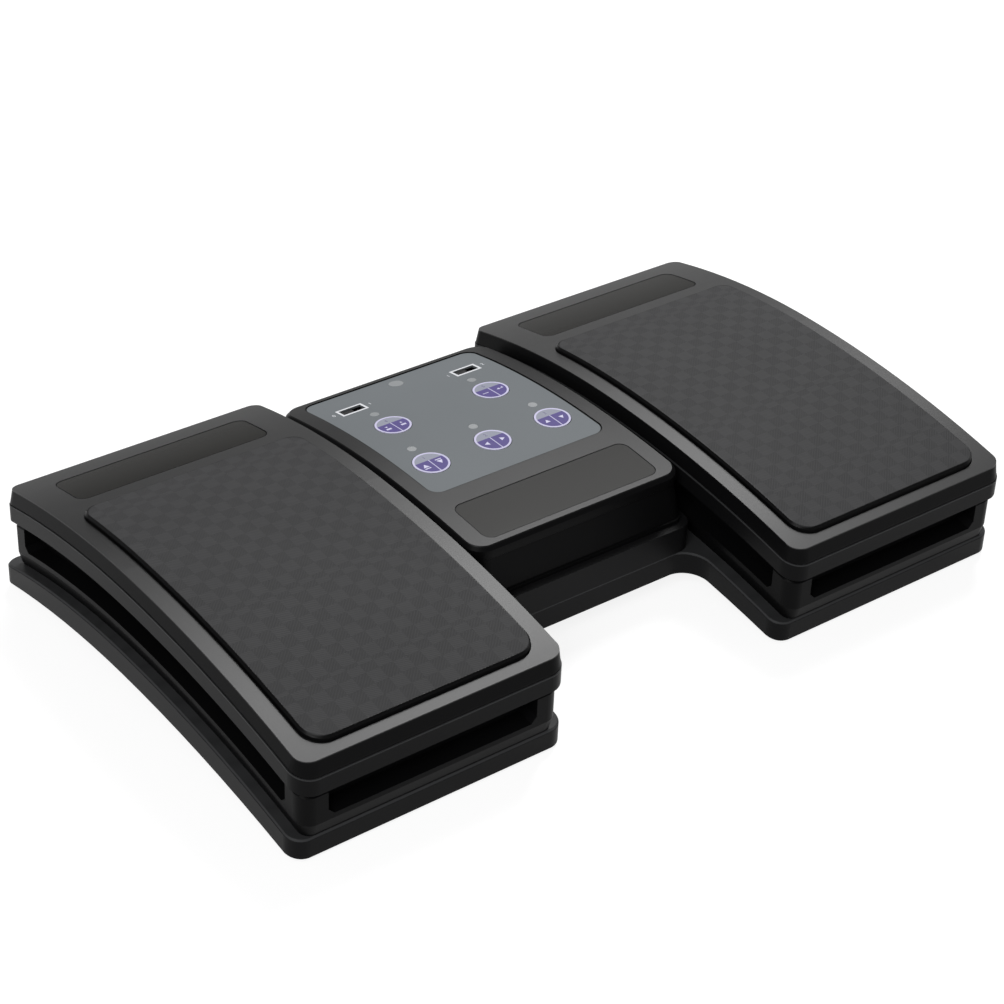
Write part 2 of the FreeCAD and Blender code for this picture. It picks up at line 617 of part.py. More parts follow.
def make_slots():
    """Cutters of the openings below the plate, on the two sides and the front."""
    front, back = "(%s + dims.slot_front_end)" % FRONT, "(%s - dims.slot_back_end)" % PLATE_BACK
    plans = {
        "outer": ("(%s - dims.overrun)" % WEST, front, "(%s + %s)" % (WEST, SLOT_INSET), back),
        "inner": ("(%s - %s)" % (EAST, SLOT_INSET), front, "(%s + dims.overrun)" % EAST, back),
        "front": ("(%s + dims.slot_front_end)" % WEST, "(%s - dims.overrun)" % FRONT,
                  "(%s - dims.slot_front_end)" % EAST, "(%s + %s)" % (FRONT, SLOT_INSET)),
    }
    slots = []
    for name, (west, south, east, north) in plans.items():
        stock = doc.addObject("Part::Box", "slot_stock_" + name)
        place_at(stock, west, south, "dims.stock_low")
        bind(stock, Length="%s - %s" % (east, west), Width="%s - %s" % (north, south),
             Height="dims.stock_height")
        cutter = common("slot_" + name, stock, slab("dims.slot_level", "dims.deck_level + dims.overrun"))
        along = "X" if name == "front" else "Y"
        slots.append(edged("slot_edge_" + name, cutter, "dims.slot_level", "dims.slot_chamfer",
                           pick=lambda edge: span(edge, along) < NEAR))
    return slots


def make_wing_housing():
    neck_top = "dims.skirt_level + dims.neck_height"
    barrel = bent("housing_barrel", plate_outline("housing_plan", HOUSING_INSET), neck_top,
                  "dims.deck_level")
    barrel = edged("housing_shoulder", barrel, "dims.deck_level", "dims.deck_chamfer")
    barrel = edged("housing_tuck", barrel, neck_top, "dims.tuck_inset", "dims.tuck_height")
    neck = bent("housing_neck", plate_outline("housing_neck_plan", "(%s + dims.neck_inset)" % HOUSING_INSET),
                "dims.skirt_level", neck_top)
    body = fuse("housing_body", barrel, neck)
    low_cavity = bent("housing_low_cavity", plate_outline("housing_low_cavity_plan", CAVITY_INSET),
                      "dims.skirt_level - dims.overrun", "dims.slot_level - dims.slot_shelf")
    high_inset = "(%s + dims.deck_wall)" % SLOT_INSET
    high_cavity = bent("housing_high_cavity", plate_outline("housing_high_cavity_plan", high_inset),
                       "dims.skirt_level", DECK_ROOF)
    body = cut("housing_hollowed", body, low_cavity, high_cavity, *make_slots())

    grown, holes = [], []
    for i, (x, y) in enumerate(WING_SCREWS):
        foot = "(%s + dims.base_pad_rise)" % arched("dims.floor_level", y, SOLE)
        grown.append(peg("wing_boss_%d" % i, x, y, foot, "dims.base_boss_radius",
                         "%s + dims.merge - %s" % (arched(DECK_ROOF, y), foot)))
        holes.append(peg("wing_pilot_%d" % i, x, y, foot + " - dims.overrun", SHANK_BORE,
                         "dims.base_screw_reach + dims.overrun"))
    rib_low = "(%s - dims.rib_foot)" % HINGE_HEIGHT
    rib_offset = "(dims.lug_width / 2 + dims.rib_gap + dims.rib_thickness / 2)"
    for i, x in enumerate(LUGS):
        for side in (-1, 1):
            grown.append(block("rib_%d_%d" % (i, side + 1), "%s + %d * %s" % (x, side, rib_offset), HINGE,
                               rib_low, "dims.rib_thickness", "2 * dims.rib_foot",
                               "%s + dims.merge - %s" % (arched(DECK_ROOF, HINGE), rib_low)))
        holes.append(block("lug_window_%d" % i, x, HINGE, rib_low + " - dims.merge",
                           "dims.lug_width + 2 * dims.rib_gap",
                           "2 * (dims.lug_radius + dims.lug_window_gap)", "dims.stock_height"))
    holes.append(rod("rib_bore", MIDDLE, HINGE, HINGE_HEIGHT, "dims.pin_radius + dims.pin_play",
                     "dims.pin_length + dims.overrun"))
    spring_y = "dims.spring_from_front"
    holes.append(peg("spring_well", MIDDLE, spring_y, "dims.spring_seat_high", "dims.spring_well_radius",
                     "dims.stock_height"))
    for i, (x, y) in enumerate(PLATE_SCREWS):
        holes.append(peg("access_hole_%d" % i, x, y, "%s - dims.overrun" % arched("dims.deck_level", y),
                         "dims.access_radius", "dims.stock_height"))
    keep("left_wing_housing", cut("left_wing_housing", fuse("housing_grown", body, *grown), *holes))


def make_hinge_pin():
    keep("left_hinge_pin", rod("hinge_pin", MIDDLE, HINGE, HINGE_HEIGHT, "dims.pin_radius",
                               "dims.pin_length"))


def make_return_spring():
    y = "dims.spring_from_front"
    low = "dims.spring_seat_high + dims.spring_end_gap"
    tall = "dims.spring_boss_low - dims.spring_seat_high - 2 * dims.spring_end_gap"
    sleeve = peg("spring_sleeve", MIDDLE, y, low, "dims.spring_radius", tall, ROUND_SIDES)
    bore = peg("spring_bore", MIDDLE, y, low, "dims.spring_radius - dims.wire_thickness", tall, ROUND_SIDES)
    keep("left_return_spring", cut("left_return_spring", sleeve, bore))


def make_stop_pads():
    pads = [post("stop_pad_%d" % i, x, "dims.stop_from_front", "dims.stop_radius", "dims.deck_level",
                 "dims.deck_level + dims.stop_height")
            for i, x in enumerate(either_side(MIDDLE, "stop_spacing"))]
    keep("left_stop_pads", gather("stop_pads", pads))


def make_pedal_sensor():
    y = "dims.sensor_from_front"
    keep("left_magnet", cylinder("magnet", MIDDLE, y, arched(FLOOR, y) + " + dims.magnet_seat",
                                 "dims.magnet_radius", "dims.magnet_thickness"))
    board = block("sensor_board_sheet", MIDDLE, y, "dims.sensor_board_low", "dims.sensor_board_length",
                  "dims.sensor_board_width", "dims.board_thickness")
    chip = block("sensor_chip", MIDDLE, y, "dims.sensor_board_low + dims.board_thickness",
                 "dims.chip_size", "dims.chip_size", "dims.chip_height")
    keep("left_sensor_board", fuse("sensor_board", board, chip))


def screw(name, x, from_front, head_top, head_radius, head_height, shank, reach):
    """Pan head below, shank above."""
    head = peg(name + "_head", x, from_front, "%s - %s" % (head_top, head_height), head_radius,
               head_height)
    stem = peg(name + "_shank", x, from_front, head_top, shank, reach)
    return fuse(name, head, stem)


def make_plate_screws():
    screws = [screw("plate_screw_%d" % i, x, y, "(%s - dims.screw_seat)" % arched(FLOOR, y),
                    "dims.screw_head", "dims.screw_head_height", "dims.screw_shank",
                    "dims.plate_screw_reach")
              for i, (x, y) in enumerate(PLATE_SCREWS)]
    keep("left_plate_screws", gather("plate_screws", screws))


def base_outline(name):
    half = "dims.overall_width / 2"
    front = "%s + dims.base_front_inset" % FRONT
    bay = "dims.bay_half_width"
    sides = [half, BACK, bay, depth(in_bay("dims.bay_length")), "-" + bay, BACK, "-" + half, front,
             "-" + bay, depth(in_bay("0")), bay, front]
    outer, inner, back = "dims.base_corner", "dims.bay_front_corner", "dims.bay_back_corner"
    return outline(name, sides, [outer, back, back, back, back, outer, outer, outer, inner, inner,
                                 outer, outer])


def mirrored_pair(name, obj):
    """A solid on the left and its mirror image on the right."""
    twin = doc.addObject("Part::Mirroring", name + "_mirrored")
    twin.Source = obj
    twin.Normal = V(1, 0, 0)
    return [obj, twin]


def tray_post(name, x, from_front, radius, high):
    """Post that stands in the floor of the base tray."""
    foot = "(%s - dims.merge)" % arched("dims.floor_level", from_front, SOLE)
    return peg(name, x, from_front, foot, radius, "%s - %s" % (high, foot))


def make_tray_body():
    body = bent("tray_body", base_outline("tray_plan"), "dims.sole_level", "dims.skirt_level", SOLE, BEND)
    body = edged("tray_ledge", body, "dims.skirt_level", "dims.skirt_chamfer")
    body = edged("tray_foot", body, "dims.sole_level", "dims.sole_chamfer", radii=SOLE)
    bay = "dims.bay_half_width"
    wall = bent("tray_centre_wall", box_outline("tray_centre_plan", "-" + bay, depth(in_bay("0")), bay,
                                                depth(in_bay("dims.bay_length")), "dims.centre_wall_corner"),
                "dims.skirt_level - dims.merge", "dims.centre_wall_level")
    body = fuse("tray_walled", body, wall)
    wing_hollow = bent("tray_wing_hollow", plate_outline("tray_wing_plan", CAVITY_INSET),
                       "dims.floor_level", "dims.skirt_level + dims.overrun", SOLE, BEND)
    inside = "(%s - dims.centre_wall)" % bay
    centre_plan = box_outline("tray_centre_hollow_plan", "-" + inside, depth(in_bay("dims.centre_wall")),
                              inside, depth(in_bay("dims.bay_length - dims.centre_wall")),
                              "dims.centre_wall_corner - dims.centre_wall / 2")
    centre_hollow = bent("tray_centre_hollow", centre_plan, "dims.floor_level",
                         "dims.centre_wall_level + dims.overrun", SOLE, BEND)
    return cut("tray_hollowed", body, centre_hollow, *mirrored_pair("tray_wing_hollow", wing_hollow))


def board_corners(board):
    """Places of the four posts under a board."""
    rows = ["dims.%s_front + dims.post_inset" % board, "dims.%s_back - dims.post_back_inset" % board]
    return [("%d * (dims.board_half_width - dims.post_inset)" % side, in_bay(row))
            for row in rows for side in (-1, 1)]


def make_tray_posts():
    """Everything that stands on the floor of the base tray."""
    grown = []
    for i, (x, y) in enumerate(WING_SCREWS + MODULE_SCREWS):
        pad = tray_post("tray_pad_%d" % i, x, y, "dims.base_pad_radius",
                        "(%s + dims.base_pad_rise)" % arched("dims.floor_level", y, SOLE))
        grown += mirrored_pair("tray_pad_%d" % i, pad) if i < len(WING_SCREWS) else [pad]
    spring_y = "dims.spring_from_front"
    grown += mirrored_pair("spring_seat", tray_post("spring_seat", MIDDLE, spring_y,
                                                    "dims.spring_boss_radius", "dims.spring_seat_high"))
    grown += mirrored_pair("spring_spigot", tray_post(
        "spring_spigot", MIDDLE, spring_y, "dims.spring_spigot_radius",
        "(dims.spring_seat_high + dims.spring_spigot_height)"))
    for i, x in enumerate(either_side(MIDDLE, "sensor_post_spacing")):
        grown += mirrored_pair("sensor_post_%d" % i, tray_post(
            "sensor_post_%d" % i, x, "dims.sensor_from_front", "dims.sensor_post_radius",
            "dims.sensor_board_low"))
    for i, (x, y) in enumerate(board_corners("main_board")):
        grown.append(tray_post("board_post_%d" % i, x, y, "dims.post_radius", "dims.main_board_low"))
    for i, side in enumerate((-1, 1)):
        y = in_bay("dims.battery_front + dims.battery_width / 2 + %d * (dims.battery_width / 2"
                   " - dims.cradle_inset)" % side)
        foot = "(%s - dims.merge)" % arched("dims.floor_level", y, SOLE)
        grown.append(block("battery_rail_%d" % i, "0", y, foot, "dims.battery_length",
                           "dims.cradle_thickness", "dims.battery_low - %s" % foot))
    return grown


def make_base_tray():
    holes = []
    for i, (x, y) in enumerate(WING_SCREWS + MODULE_SCREWS):
        sole = arched("dims.sole_level", y, SOLE)
        seat = peg("head_recess_%d" % i, x, y, sole + " - dims.overrun", "dims.head_recess_radius",
                   "dims.overrun + dims.head_recess_depth")
        passage = peg("screw_passage_%d" % i, x, y, sole, "dims.screw_hole", "dims.base_screw_reach")
        for name, hole in (("head_recess_%d" % i, seat), ("screw_passage_%d" % i, passage)):
            holes += mirrored_pair(name, hole) if i < len(WING_SCREWS) else [hole]
    window_y = in_bay("dims.cable_window_place")
    holes.append(block("cable_window", "0", window_y, arched("dims.floor_level", window_y, SOLE),
                       "2 * (dims.bay_half_width + dims.cable_window_reach)", "dims.cable_window_width",
                       "dims.cable_window_height"))
    for i, (x, y) in enumerate(FEET):
        holes += mirrored_pair("foot_seat_%d" % i, post(
            "foot_seat_%d" % i, x, y, "dims.foot_radius + dims.foot_gap", "dims.sole_level - dims.overrun",
            "dims.sole_level + dims.foot_recess", SOLE, ROUND_SIDES))
    keep("base_tray", cut("base_tray", fuse("tray_grown", make_tray_body(), *make_tray_posts()), *holes))


def make_feet():
    feet = []
    for i, (x, y) in enumerate(FEET):
        puck = peg("foot_puck_%d" % i, x, y, "0", "dims.foot_radius", "dims.stock_height", ROUND_SIDES)
        foot = common("foot_%d" % i, puck, slab("dims.stock_low", "dims.sole_level + dims.foot_recess",
                                                SOLE, SOLE))
        feet += mirrored_pair("foot_%d" % i, foot)
    keep("rubber_feet", gather("feet", feet))


def make_base_screws():
    screws = []
    for i, (x, y) in enumerate(WING_SCREWS + MODULE_SCREWS):
        head_top = "(%s + dims.head_recess_depth)" % arched("dims.sole_level", y, SOLE)
        one = screw("base_screw_%d" % i, x, y, head_top, "dims.screw_head", "dims.screw_head_height",
                    "dims.screw_shank", "dims.base_screw_reach")
        screws += mirrored_pair("base_screw_%d" % i, one) if i < len(WING_SCREWS) else [one]
    keep("base_screws", gather("base_screw_set", screws))


def module_outline(name, inset="0"):
    half = "(dims.module_half_width - (%s))" % inset
    return box_outline(name, "-" + half, depth(in_bay("dims.module_front + " + inset)), half,
                       depth(in_bay("dims.module_back - (%s)" % inset)),
                       "max(dims.inner_corner; dims.module_corner - (%s))" % inset)


def module_foot_outline(name, inset="0"):
    half = "(dims.bay_half_width - dims.module_foot_inset - %s)" % inset
    return box_outline(name, "-" + half, depth(in_bay("dims.module_foot_front + " + inset)), half,
                       depth(in_bay("dims.module_foot_back - " + inset)), "dims.module_foot_corner")


def make_module_housing():
    low = module_foot_outline("module_foot_plan")
    low.setExpression("Placement.Base.z", "dims.module_foot_level")
    high = module_outline("module_head_plan", "dims.module_top_inset")
    high.setExpression("Placement.Base.z", "dims.module_foot_level + dims.module_draft_height")
    loft = doc.addObject("Part::Loft", "module_loft")
    loft.Sections = [low, high]
    loft.Solid = True
    loft.Ruled = True
    shadow_top = "dims.centre_wall_level + dims.shadow_height"
    walls = common("module_walls", loft, slab(shadow_top, "dims.lip_level + dims.merge"))
    neck = bent("module_neck", module_foot_outline("module_neck_plan", "dims.shadow_inset"),
                "dims.centre_wall_level", shadow_top + " + dims.merge")
    lip = bent("module_lip", module_outline("module_lip_plan"), "dims.lip_level", "dims.cover_seam_level")
    lip = edged("module_lip_edge", lip, "dims.lip_level", "dims.lip_chamfer")
    body = fuse("module_body", walls, neck, lip)
    hollow = bent("module_hollow", module_outline("module_hollow_plan",
                                                  "dims.module_top_inset + dims.module_wall"),
                  "dims.centre_wall_level - dims.overrun", "dims.cover_seam_level + dims.overrun")
    mouth = block("socket_window", "0", in_bay("dims.module_back"),
                  "%s - dims.socket_gap" % MAIN_BOARD_TOP, "dims.socket_width + 2 * dims.socket_gap",
                  "2 * dims.socket_length", "dims.socket_height + 2 * dims.socket_gap")
    keep("centre_housing", cut("centre_housing", body, hollow, mouth))


def centre_label_outline(name, gap="0"):
    half = "(dims.centre_label_width / 2 + %s)" % gap
    return box_outline(name, "-" + half, depth(in_bay("dims.centre_label_place - " + gap)), half,
                       depth(in_bay("dims.centre_label_place + dims.centre_label_depth + " + gap)),
                       "dims.label_corner + " + gap)


def panel_outline(name, gap="0"):
    half = "(dims.panel_half_width + %s)" % gap
    return box_outline(name, "-" + half, depth(in_bay("dims.panel_front - " + gap)), half,
                       depth(in_bay("dims.panel_back + " + gap)), "dims.panel_corner + " + gap)


def panel_holes(name):
    """Openings for the lights and the two slide switch knobs."""
    holes = [through("%s_light_%d" % (name, i), x, y, "dims.light_radius + dims.light_play", LIGHT_SIDES)
             for i, (x, y) in enumerate(LIGHTS)]
    holes.append(through(name + "_status", STATUS[0], STATUS[1],
                         "dims.status_light_radius + dims.light_play", LIGHT_SIDES))
    holes += [block("%s_window_%s" % (name, side), x, SWITCH_PLACE, "dims.stock_low", "dims.window_length",
                    "dims.window_width", "dims.stock_height") for side, x in SWITCHES.items()]
    return holes


def make_centre_cover():
    shell = bent("cover_shell", module_outline("cover_plan"), "dims.cover_seam_level", "dims.cover_level")
    shell = edged("cover_edge", shell, "dims.cover_level", "dims.cover_chamfer")
    roof = "(dims.cover_level - dims.cover_skin)"
    plug = bent("cover_plug", module_outline(
        "cover_plug_plan", "dims.module_top_inset + dims.module_wall + dims.plug_play"),
        roof, "dims.cover_seam_level + dims.plug_reach")
    parts, cutters = [shell, plug], []
    for i, (x, y) in enumerate(MODULE_SCREWS):
        foot = "(%s + dims.base_pad_rise)" % arched("dims.floor_level", y, SOLE)
        parts.append(peg("module_boss_%d" % i, x, y, foot, "dims.module_boss_radius",
                         "%s + dims.merge - %s" % (arched(roof, y), foot)))
        cutters.append(peg("module_pilot_%d" % i, x, y, foot + " - dims.overrun", SHANK_BORE,
                           "dims.base_screw_reach + dims.overrun"))
    for i, (x, y) in enumerate(BOARD_SCREWS):
        parts.append(peg("board_boss_%d" % i, x, y, KEY_BOARD_TOP, "dims.board_boss_radius",
                         "%s + dims.merge - %s" % (arched(roof, y), KEY_BOARD_TOP)))
        cutters.append(peg("board_pilot_%d" % i, x, y, "dims.key_board_low",
                           "dims.board_screw_shank + dims.screw_play", "dims.board_screw_reach + dims.merge"))
    cutters.append(bent("panel_recess", panel_outline("panel_recess_plan", "dims.panel_gap"), PANEL_LOW,
                        "dims.cover_level + dims.overrun"))
    cutters.append(bent("centre_label_recess",
                        centre_label_outline("centre_label_recess_plan", "dims.label_gap"),
                        "dims.cover_level - dims.label_thickness - dims.label_sink",
                        "dims.cover_level + dims.overrun"))
    key_seat = PANEL_TOP + " + dims.key_rise - dims.key_thickness - dims.key_travel - dims.key_floor_gap"
    for i, (x, y) in enumerate(KEYS):
        cutters.append(post("key_well_%d" % i, x, y, "dims.key_radius + dims.key_well_gap", key_seat,
                            "dims.cover_level + dims.overrun", sides=LIGHT_SIDES))
        cutters.append(through("stem_hole_%d" % i, x, y, "dims.key_stem_hole"))
    cutters += panel_holes("cover")
    keep("centre_cover", cut("centre_cover", fuse("cover_bossed", *parts), *cutters))


def make_panel():
    sheet = bent("panel_sheet", panel_outline("panel_plan"), PANEL_LOW, PANEL_TOP)
    cutters = [round_through("panel_key_hole_%d" % i, x, y, "dims.key_radius + dims.key_gap")
               for i, (x, y) in enumerate(KEYS)]
    keep("control_panel", cut("control_panel", sheet, *cutters, *panel_holes("panel")))
    face = "dims.cover_level - dims.label_sink"
    keep("centre_nameplate", bent("centre_nameplate", centre_label_outline("centre_label_plan"),
                                  face + " - dims.label_thickness", face))


def make_keys():
    top = PANEL_TOP + " + dims.key_rise"
    tact_floor = "%s + dims.tact_height - dims.tact_depth" % KEY_BOARD_TOP
    stem_foot = "(%s + dims.key_travel + dims.key_floor_gap)" % tact_floor
    tacts = []
    for i, (x, y) in enumerate(KEYS, 1):
        stock = round_through("key_stock_%d" % i, x, y, "dims.key_radius")
        cap = common("key_cap_%d" % i, stock, slab(top + " - dims.key_thickness", top))
        stem = peg("key_stem_%d" % i, x, y, stem_foot, "dims.key_stem",
                   "%s - dims.key_thickness + dims.merge - %s" % (arched(top, y), stem_foot))
        keep("mode_key_%d" % i, fuse("mode_key_%d" % i, cap, stem))
        body = block("tact_body_%d" % i, x, y, KEY_BOARD_TOP, "dims.tact_size", "dims.tact_size",
                     "dims.tact_height")
        bore = peg("tact_bore_%d" % i, x, y, tact_floor, "dims.tact_bore", "dims.tact_depth + dims.overrun")
        tacts.append(cut("tact_%d" % i, body, bore))
    keep("key_switches", gather("tact_set", tacts))


def make_lights():
    foot = "%s + dims.led_height" % KEY_BOARD_TOP

    def pipe(name, x, y, radius):
        stock = peg(name + "_stock", x, y, foot, radius, "dims.stock_height", LIGHT_SIDES)
        return common(name, stock, slab("dims.stock_low", PANEL_TOP))

    keep("mode_lights", gather("mode_light_set", [pipe("mode_light_%d" % i, x, y, "dims.light_radius")
                                                  for i, (x, y) in enumerate(LIGHTS)]))
    keep("status_light", pipe("status_light", STATUS[0], STATUS[1], "dims.status_light_radius"))


def make_slide_switches():
    slider_low = "%s + dims.switch_floor + dims.switch_play / 2" % KEY_BOARD_TOP
    bodies = []
    for side, x in SWITCHES.items():
        case = block("switch_case_" + side, x, SWITCH_PLACE, KEY_BOARD_TOP, "dims.switch_body_length",
                     "dims.switch_body_width", "dims.switch_body_height")
        track = block("switch_track_" + side, x, SWITCH_PLACE, "%s + dims.switch_floor" % KEY_BOARD_TOP,
                      "dims.slider_length + dims.switch_travel + 2 * dims.switch_play",
                      "dims.slider_width + 2 * dims.switch_play", "dims.slider_height + dims.switch_play")
        slit = block("switch_slit_" + side, x, SWITCH_PLACE, slider_low,
                     "dims.knob_length + dims.switch_travel + 2 * dims.switch_play",
                     "dims.knob_width + 2 * dims.switch_play", "dims.stock_height")
        bodies.append(cut("switch_body_" + side, case, track, slit))
        rest = "(%s - dims.switch_travel / 2)" % x
        slider = block("slider_" + side, rest, SWITCH_PLACE, slider_low, "dims.slider_length",
                       "dims.slider_width", "dims.slider_height")
        stock = block("knob_stock_" + side, rest, SWITCH_PLACE, slider_low, "dims.knob_length",
                      "dims.knob_width", "dims.stock_height")
        knob = common("knob_" + side, stock, slab("dims.stock_low", PANEL_TOP + " - dims.knob_sink"))
        keep(side + "_switch_knob", fuse(side + "_switch_knob", slider, knob))
    keep("slide_switches", gather("switch_body_set", bodies))


def board_sheet(name, low):
    """Circuit board across the module."""
    ends = (name, name)
    return block(name + "_sheet", "0", in_bay("(dims.%s_front + dims.%s_back) / 2" % ends), low,
                 "2 * dims.board_half_width", "dims.%s_back - dims.%s_front" % (name, name),
                 "dims.board_thickness")


def make_boards():
    leds = [block("led_%d" % i, x, y, KEY_BOARD_TOP + " - dims.chip_sink", "dims.led_length",
                  "dims.led_width", "dims.led_height + dims.chip_sink")
            for i, (x, y) in enumerate(LIGHTS + [STATUS])]
    holes = [through("board_screw_hole_%d" % i, x, y, "dims.board_screw_shank + 2 * dims.screw_play")
             for i, (x, y) in enumerate(BOARD_SCREWS)]
    sheet = board_sheet("key_board", "dims.key_board_low")
    keep("key_board", cut("key_board", fuse("key_board_led", sheet, *leds), *holes))
    screws = [screw("board_screw_%d" % i, x, y, "dims.key_board_low", "dims.board_screw_head",
                    "dims.board_screw_head_height", "dims.board_screw_shank", "dims.board_screw_reach")
              for i, (x, y) in enumerate(BOARD_SCREWS)]
    keep("board_screws", gather("board_screw_set", screws))

    chip_low = MAIN_BOARD_TOP + " - dims.chip_sink"
    sheet = board_sheet("main_board", "dims.main_board_low")
    chip = block("main_chip", "0", in_bay("(dims.main_board_front + dims.main_board_back) / 2"), chip_low,
                 "dims.main_chip_size", "dims.main_chip_size", "dims.chip_height + dims.chip_sink")
    radio = block("radio_module", "-dims.board_half_width / 2",
                  in_bay("dims.main_board_front + dims.radio_place"), chip_low, "dims.radio_length",
                  "dims.radio_width", "dims.radio_height + dims.chip_sink")
    keep("main_board", fuse("main_board", sheet, chip, radio))


def make_battery():
    front = in_bay("dims.battery_front")
    plan = box_outline("battery_plan", "-dims.battery_length / 2", depth(front), "dims.battery_length / 2",
                       depth(front + " + dims.battery_width"), "dims.battery_corner")
    keep("battery", prism("battery", plan, "dims.battery_low", "dims.battery_height"))


def make_socket():
    centre = "dims.socket_mouth - dims.socket_length / 2"
    shell = block("socket_shell", "0", in_bay(centre), MAIN_BOARD_TOP, "dims.socket_width",
                  "dims.socket_length", "dims.socket_height")
    mouth = block("socket_mouth_cut", "0", in_bay(centre + " + dims.socket_wall"),
                  MAIN_BOARD_TOP + " + dims.socket_wall", "dims.socket_width - 2 * dims.socket_wall",
                  "dims.socket_length", "dims.socket_height - 2 * dims.socket_wall")
    tongue = block("socket_tongue", "0", in_bay(centre + " - dims.tongue_setback / 2"),
                   MAIN_BOARD_TOP + " + (dims.socket_height - dims.tongue_height) / 2",
                   "dims.tongue_width", "dims.socket_length - dims.tongue_setback", "dims.tongue_height")
    keep("charging_socket", fuse("charging_socket", cut("socket_can", shell, mouth), tongue))


def mirror_wing():
    """Every piece of the left wing has a mirror image on the right."""
    for label in [name for name in PIECES if name.startswith("left_") and "switch_knob" not in name]:
        twin_label = label.replace("left_", "right_")
        twin = doc.addObject("Part::Mirroring", twin_label)
        twin.Source = PIECES[label]
        twin.Normal = V(1, 0, 0)
        keep(twin_label, twin)


def check():
    """Stop before anything is written if a feature failed or a piece is not sound."""
    for obj in doc.Objects:
        if "Invalid" in obj.State or "Error" in obj.State:
            raise RuntimeError("%s failed: %s" % (obj.Name, obj.State))
    for obj in CUTS:
        if obj.Shape.Volume > obj.Base.Shape.Volume - 1e-3:
            raise RuntimeError("%s removes nothing" % obj.Name)
    for label, obj in PIECES.items():
        if obj.Shape.isNull() or not obj.Shape.isValid() or not obj.Shape.Solids:
            raise RuntimeError("%s is not a sound solid" % label)


def write():
    os.makedirs("parts", exist_ok=True)
    for label, obj in sorted(PIECES.items()):
        obj.Shape.exportStep("parts/%s.step" % label)
        box = obj.Shape.BoundBox
        print("%-22s %2d solids  x %7.1f %7.1f  y %7.1f %7.1f  z %6.2f %6.2f" % (
            label, len(obj.Shape.Solids), box.XMin, box.XMax, box.YMin, box.YMax, box.ZMin, box.ZMax))


make_top_cover()
make_lower_cover()
make_tread_and_label()
make_wing_housing()
make_hinge_pin()
make_return_spring()
make_stop_pads()
make_pedal_sensor()
make_plate_screws()
make_base_tray()
make_feet()
make_base_screws()
make_module_housing()
make_centre_cover()
make_panel()
make_keys()
make_lights()
make_slide_switches()
make_boards()
make_battery()
make_socket()
mirror_wing()
doc.recompute()
check()
write()
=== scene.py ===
import math

import bmesh
import bpy
from mathutils import Matrix, Vector
from mathutils.bvhtree import BVHTree


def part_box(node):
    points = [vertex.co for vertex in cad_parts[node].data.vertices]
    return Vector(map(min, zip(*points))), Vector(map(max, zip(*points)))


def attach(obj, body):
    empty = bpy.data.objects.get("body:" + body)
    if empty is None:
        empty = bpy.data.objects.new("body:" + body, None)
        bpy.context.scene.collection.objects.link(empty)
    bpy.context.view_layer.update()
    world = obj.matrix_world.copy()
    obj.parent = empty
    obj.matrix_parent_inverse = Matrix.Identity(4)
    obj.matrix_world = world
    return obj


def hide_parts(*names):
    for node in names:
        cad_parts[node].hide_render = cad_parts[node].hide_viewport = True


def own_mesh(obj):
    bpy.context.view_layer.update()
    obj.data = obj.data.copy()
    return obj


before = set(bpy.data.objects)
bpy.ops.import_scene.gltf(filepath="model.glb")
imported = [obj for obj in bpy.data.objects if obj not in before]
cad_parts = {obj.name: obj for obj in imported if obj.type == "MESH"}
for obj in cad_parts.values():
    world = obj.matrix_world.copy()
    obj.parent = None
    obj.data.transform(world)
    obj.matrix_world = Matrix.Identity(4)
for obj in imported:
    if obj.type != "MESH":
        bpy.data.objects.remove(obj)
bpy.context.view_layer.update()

MM = 0.001
UP = Vector((0, 0, 1))
SIDES = ("left", "right")
KEY_NAMES = ["mode_key_%d" % i for i in range(1, 6)]


def corners(node):
    """Lowest and highest corners of a node's box."""
    low, high = (Vector(corner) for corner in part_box(node))
    return low, high


def middle(node):
    """Centre of a node's box."""
    low, high = corners(node)
    return (low + high) / 2


def size(node):
    """Extents of a node's box."""
    low, high = corners(node)
    return high - low


class Value:
    """A number that varies over a surface. Sums on it add Math nodes to its finish."""

    def __init__(self, finish, socket):
        self.finish = finish
        self.socket = socket

    def math(self, operation, *others):
        return self.finish.node("ShaderNodeMath", {"operation": operation}, self, *others)

    def __add__(self, other):
        return self.math("ADD", other)

    __radd__ = __add__

    def __mul__(self, other):
        return self.math("MULTIPLY", other)

    __rmul__ = __mul__

    def __sub__(self, other):
        return self.math("SUBTRACT", other)

    def __rsub__(self, other):
        return self.finish.node("ShaderNodeMath", {"operation": "SUBTRACT"}, other, self)

    def __abs__(self):
        return self.math("ABSOLUTE")

    def at_least(self, other):
        return self.math("MAXIMUM", other)

    def at_most(self, other):
        return self.math("MINIMUM", other)

    def over(self, limit, soft=0.0):
        """1 where the value is above a limit, 0 below it."""
        if not soft:
            return self.math("GREATER_THAN", limit)
        return self.finish.node("ShaderNodeMapRange", {"clamp": True}, self,
                                limit - soft, limit + soft)

    def under(self, limit, soft=0.0):
        return 1 - self.over(limit, soft)

    def root(self):
        return self.math("SQRT")


# A colour Mix node's sockets.
MIX_FACTOR, MIX_FIRST, MIX_SECOND = 0, 6, 7
MIX_RESULT = 2


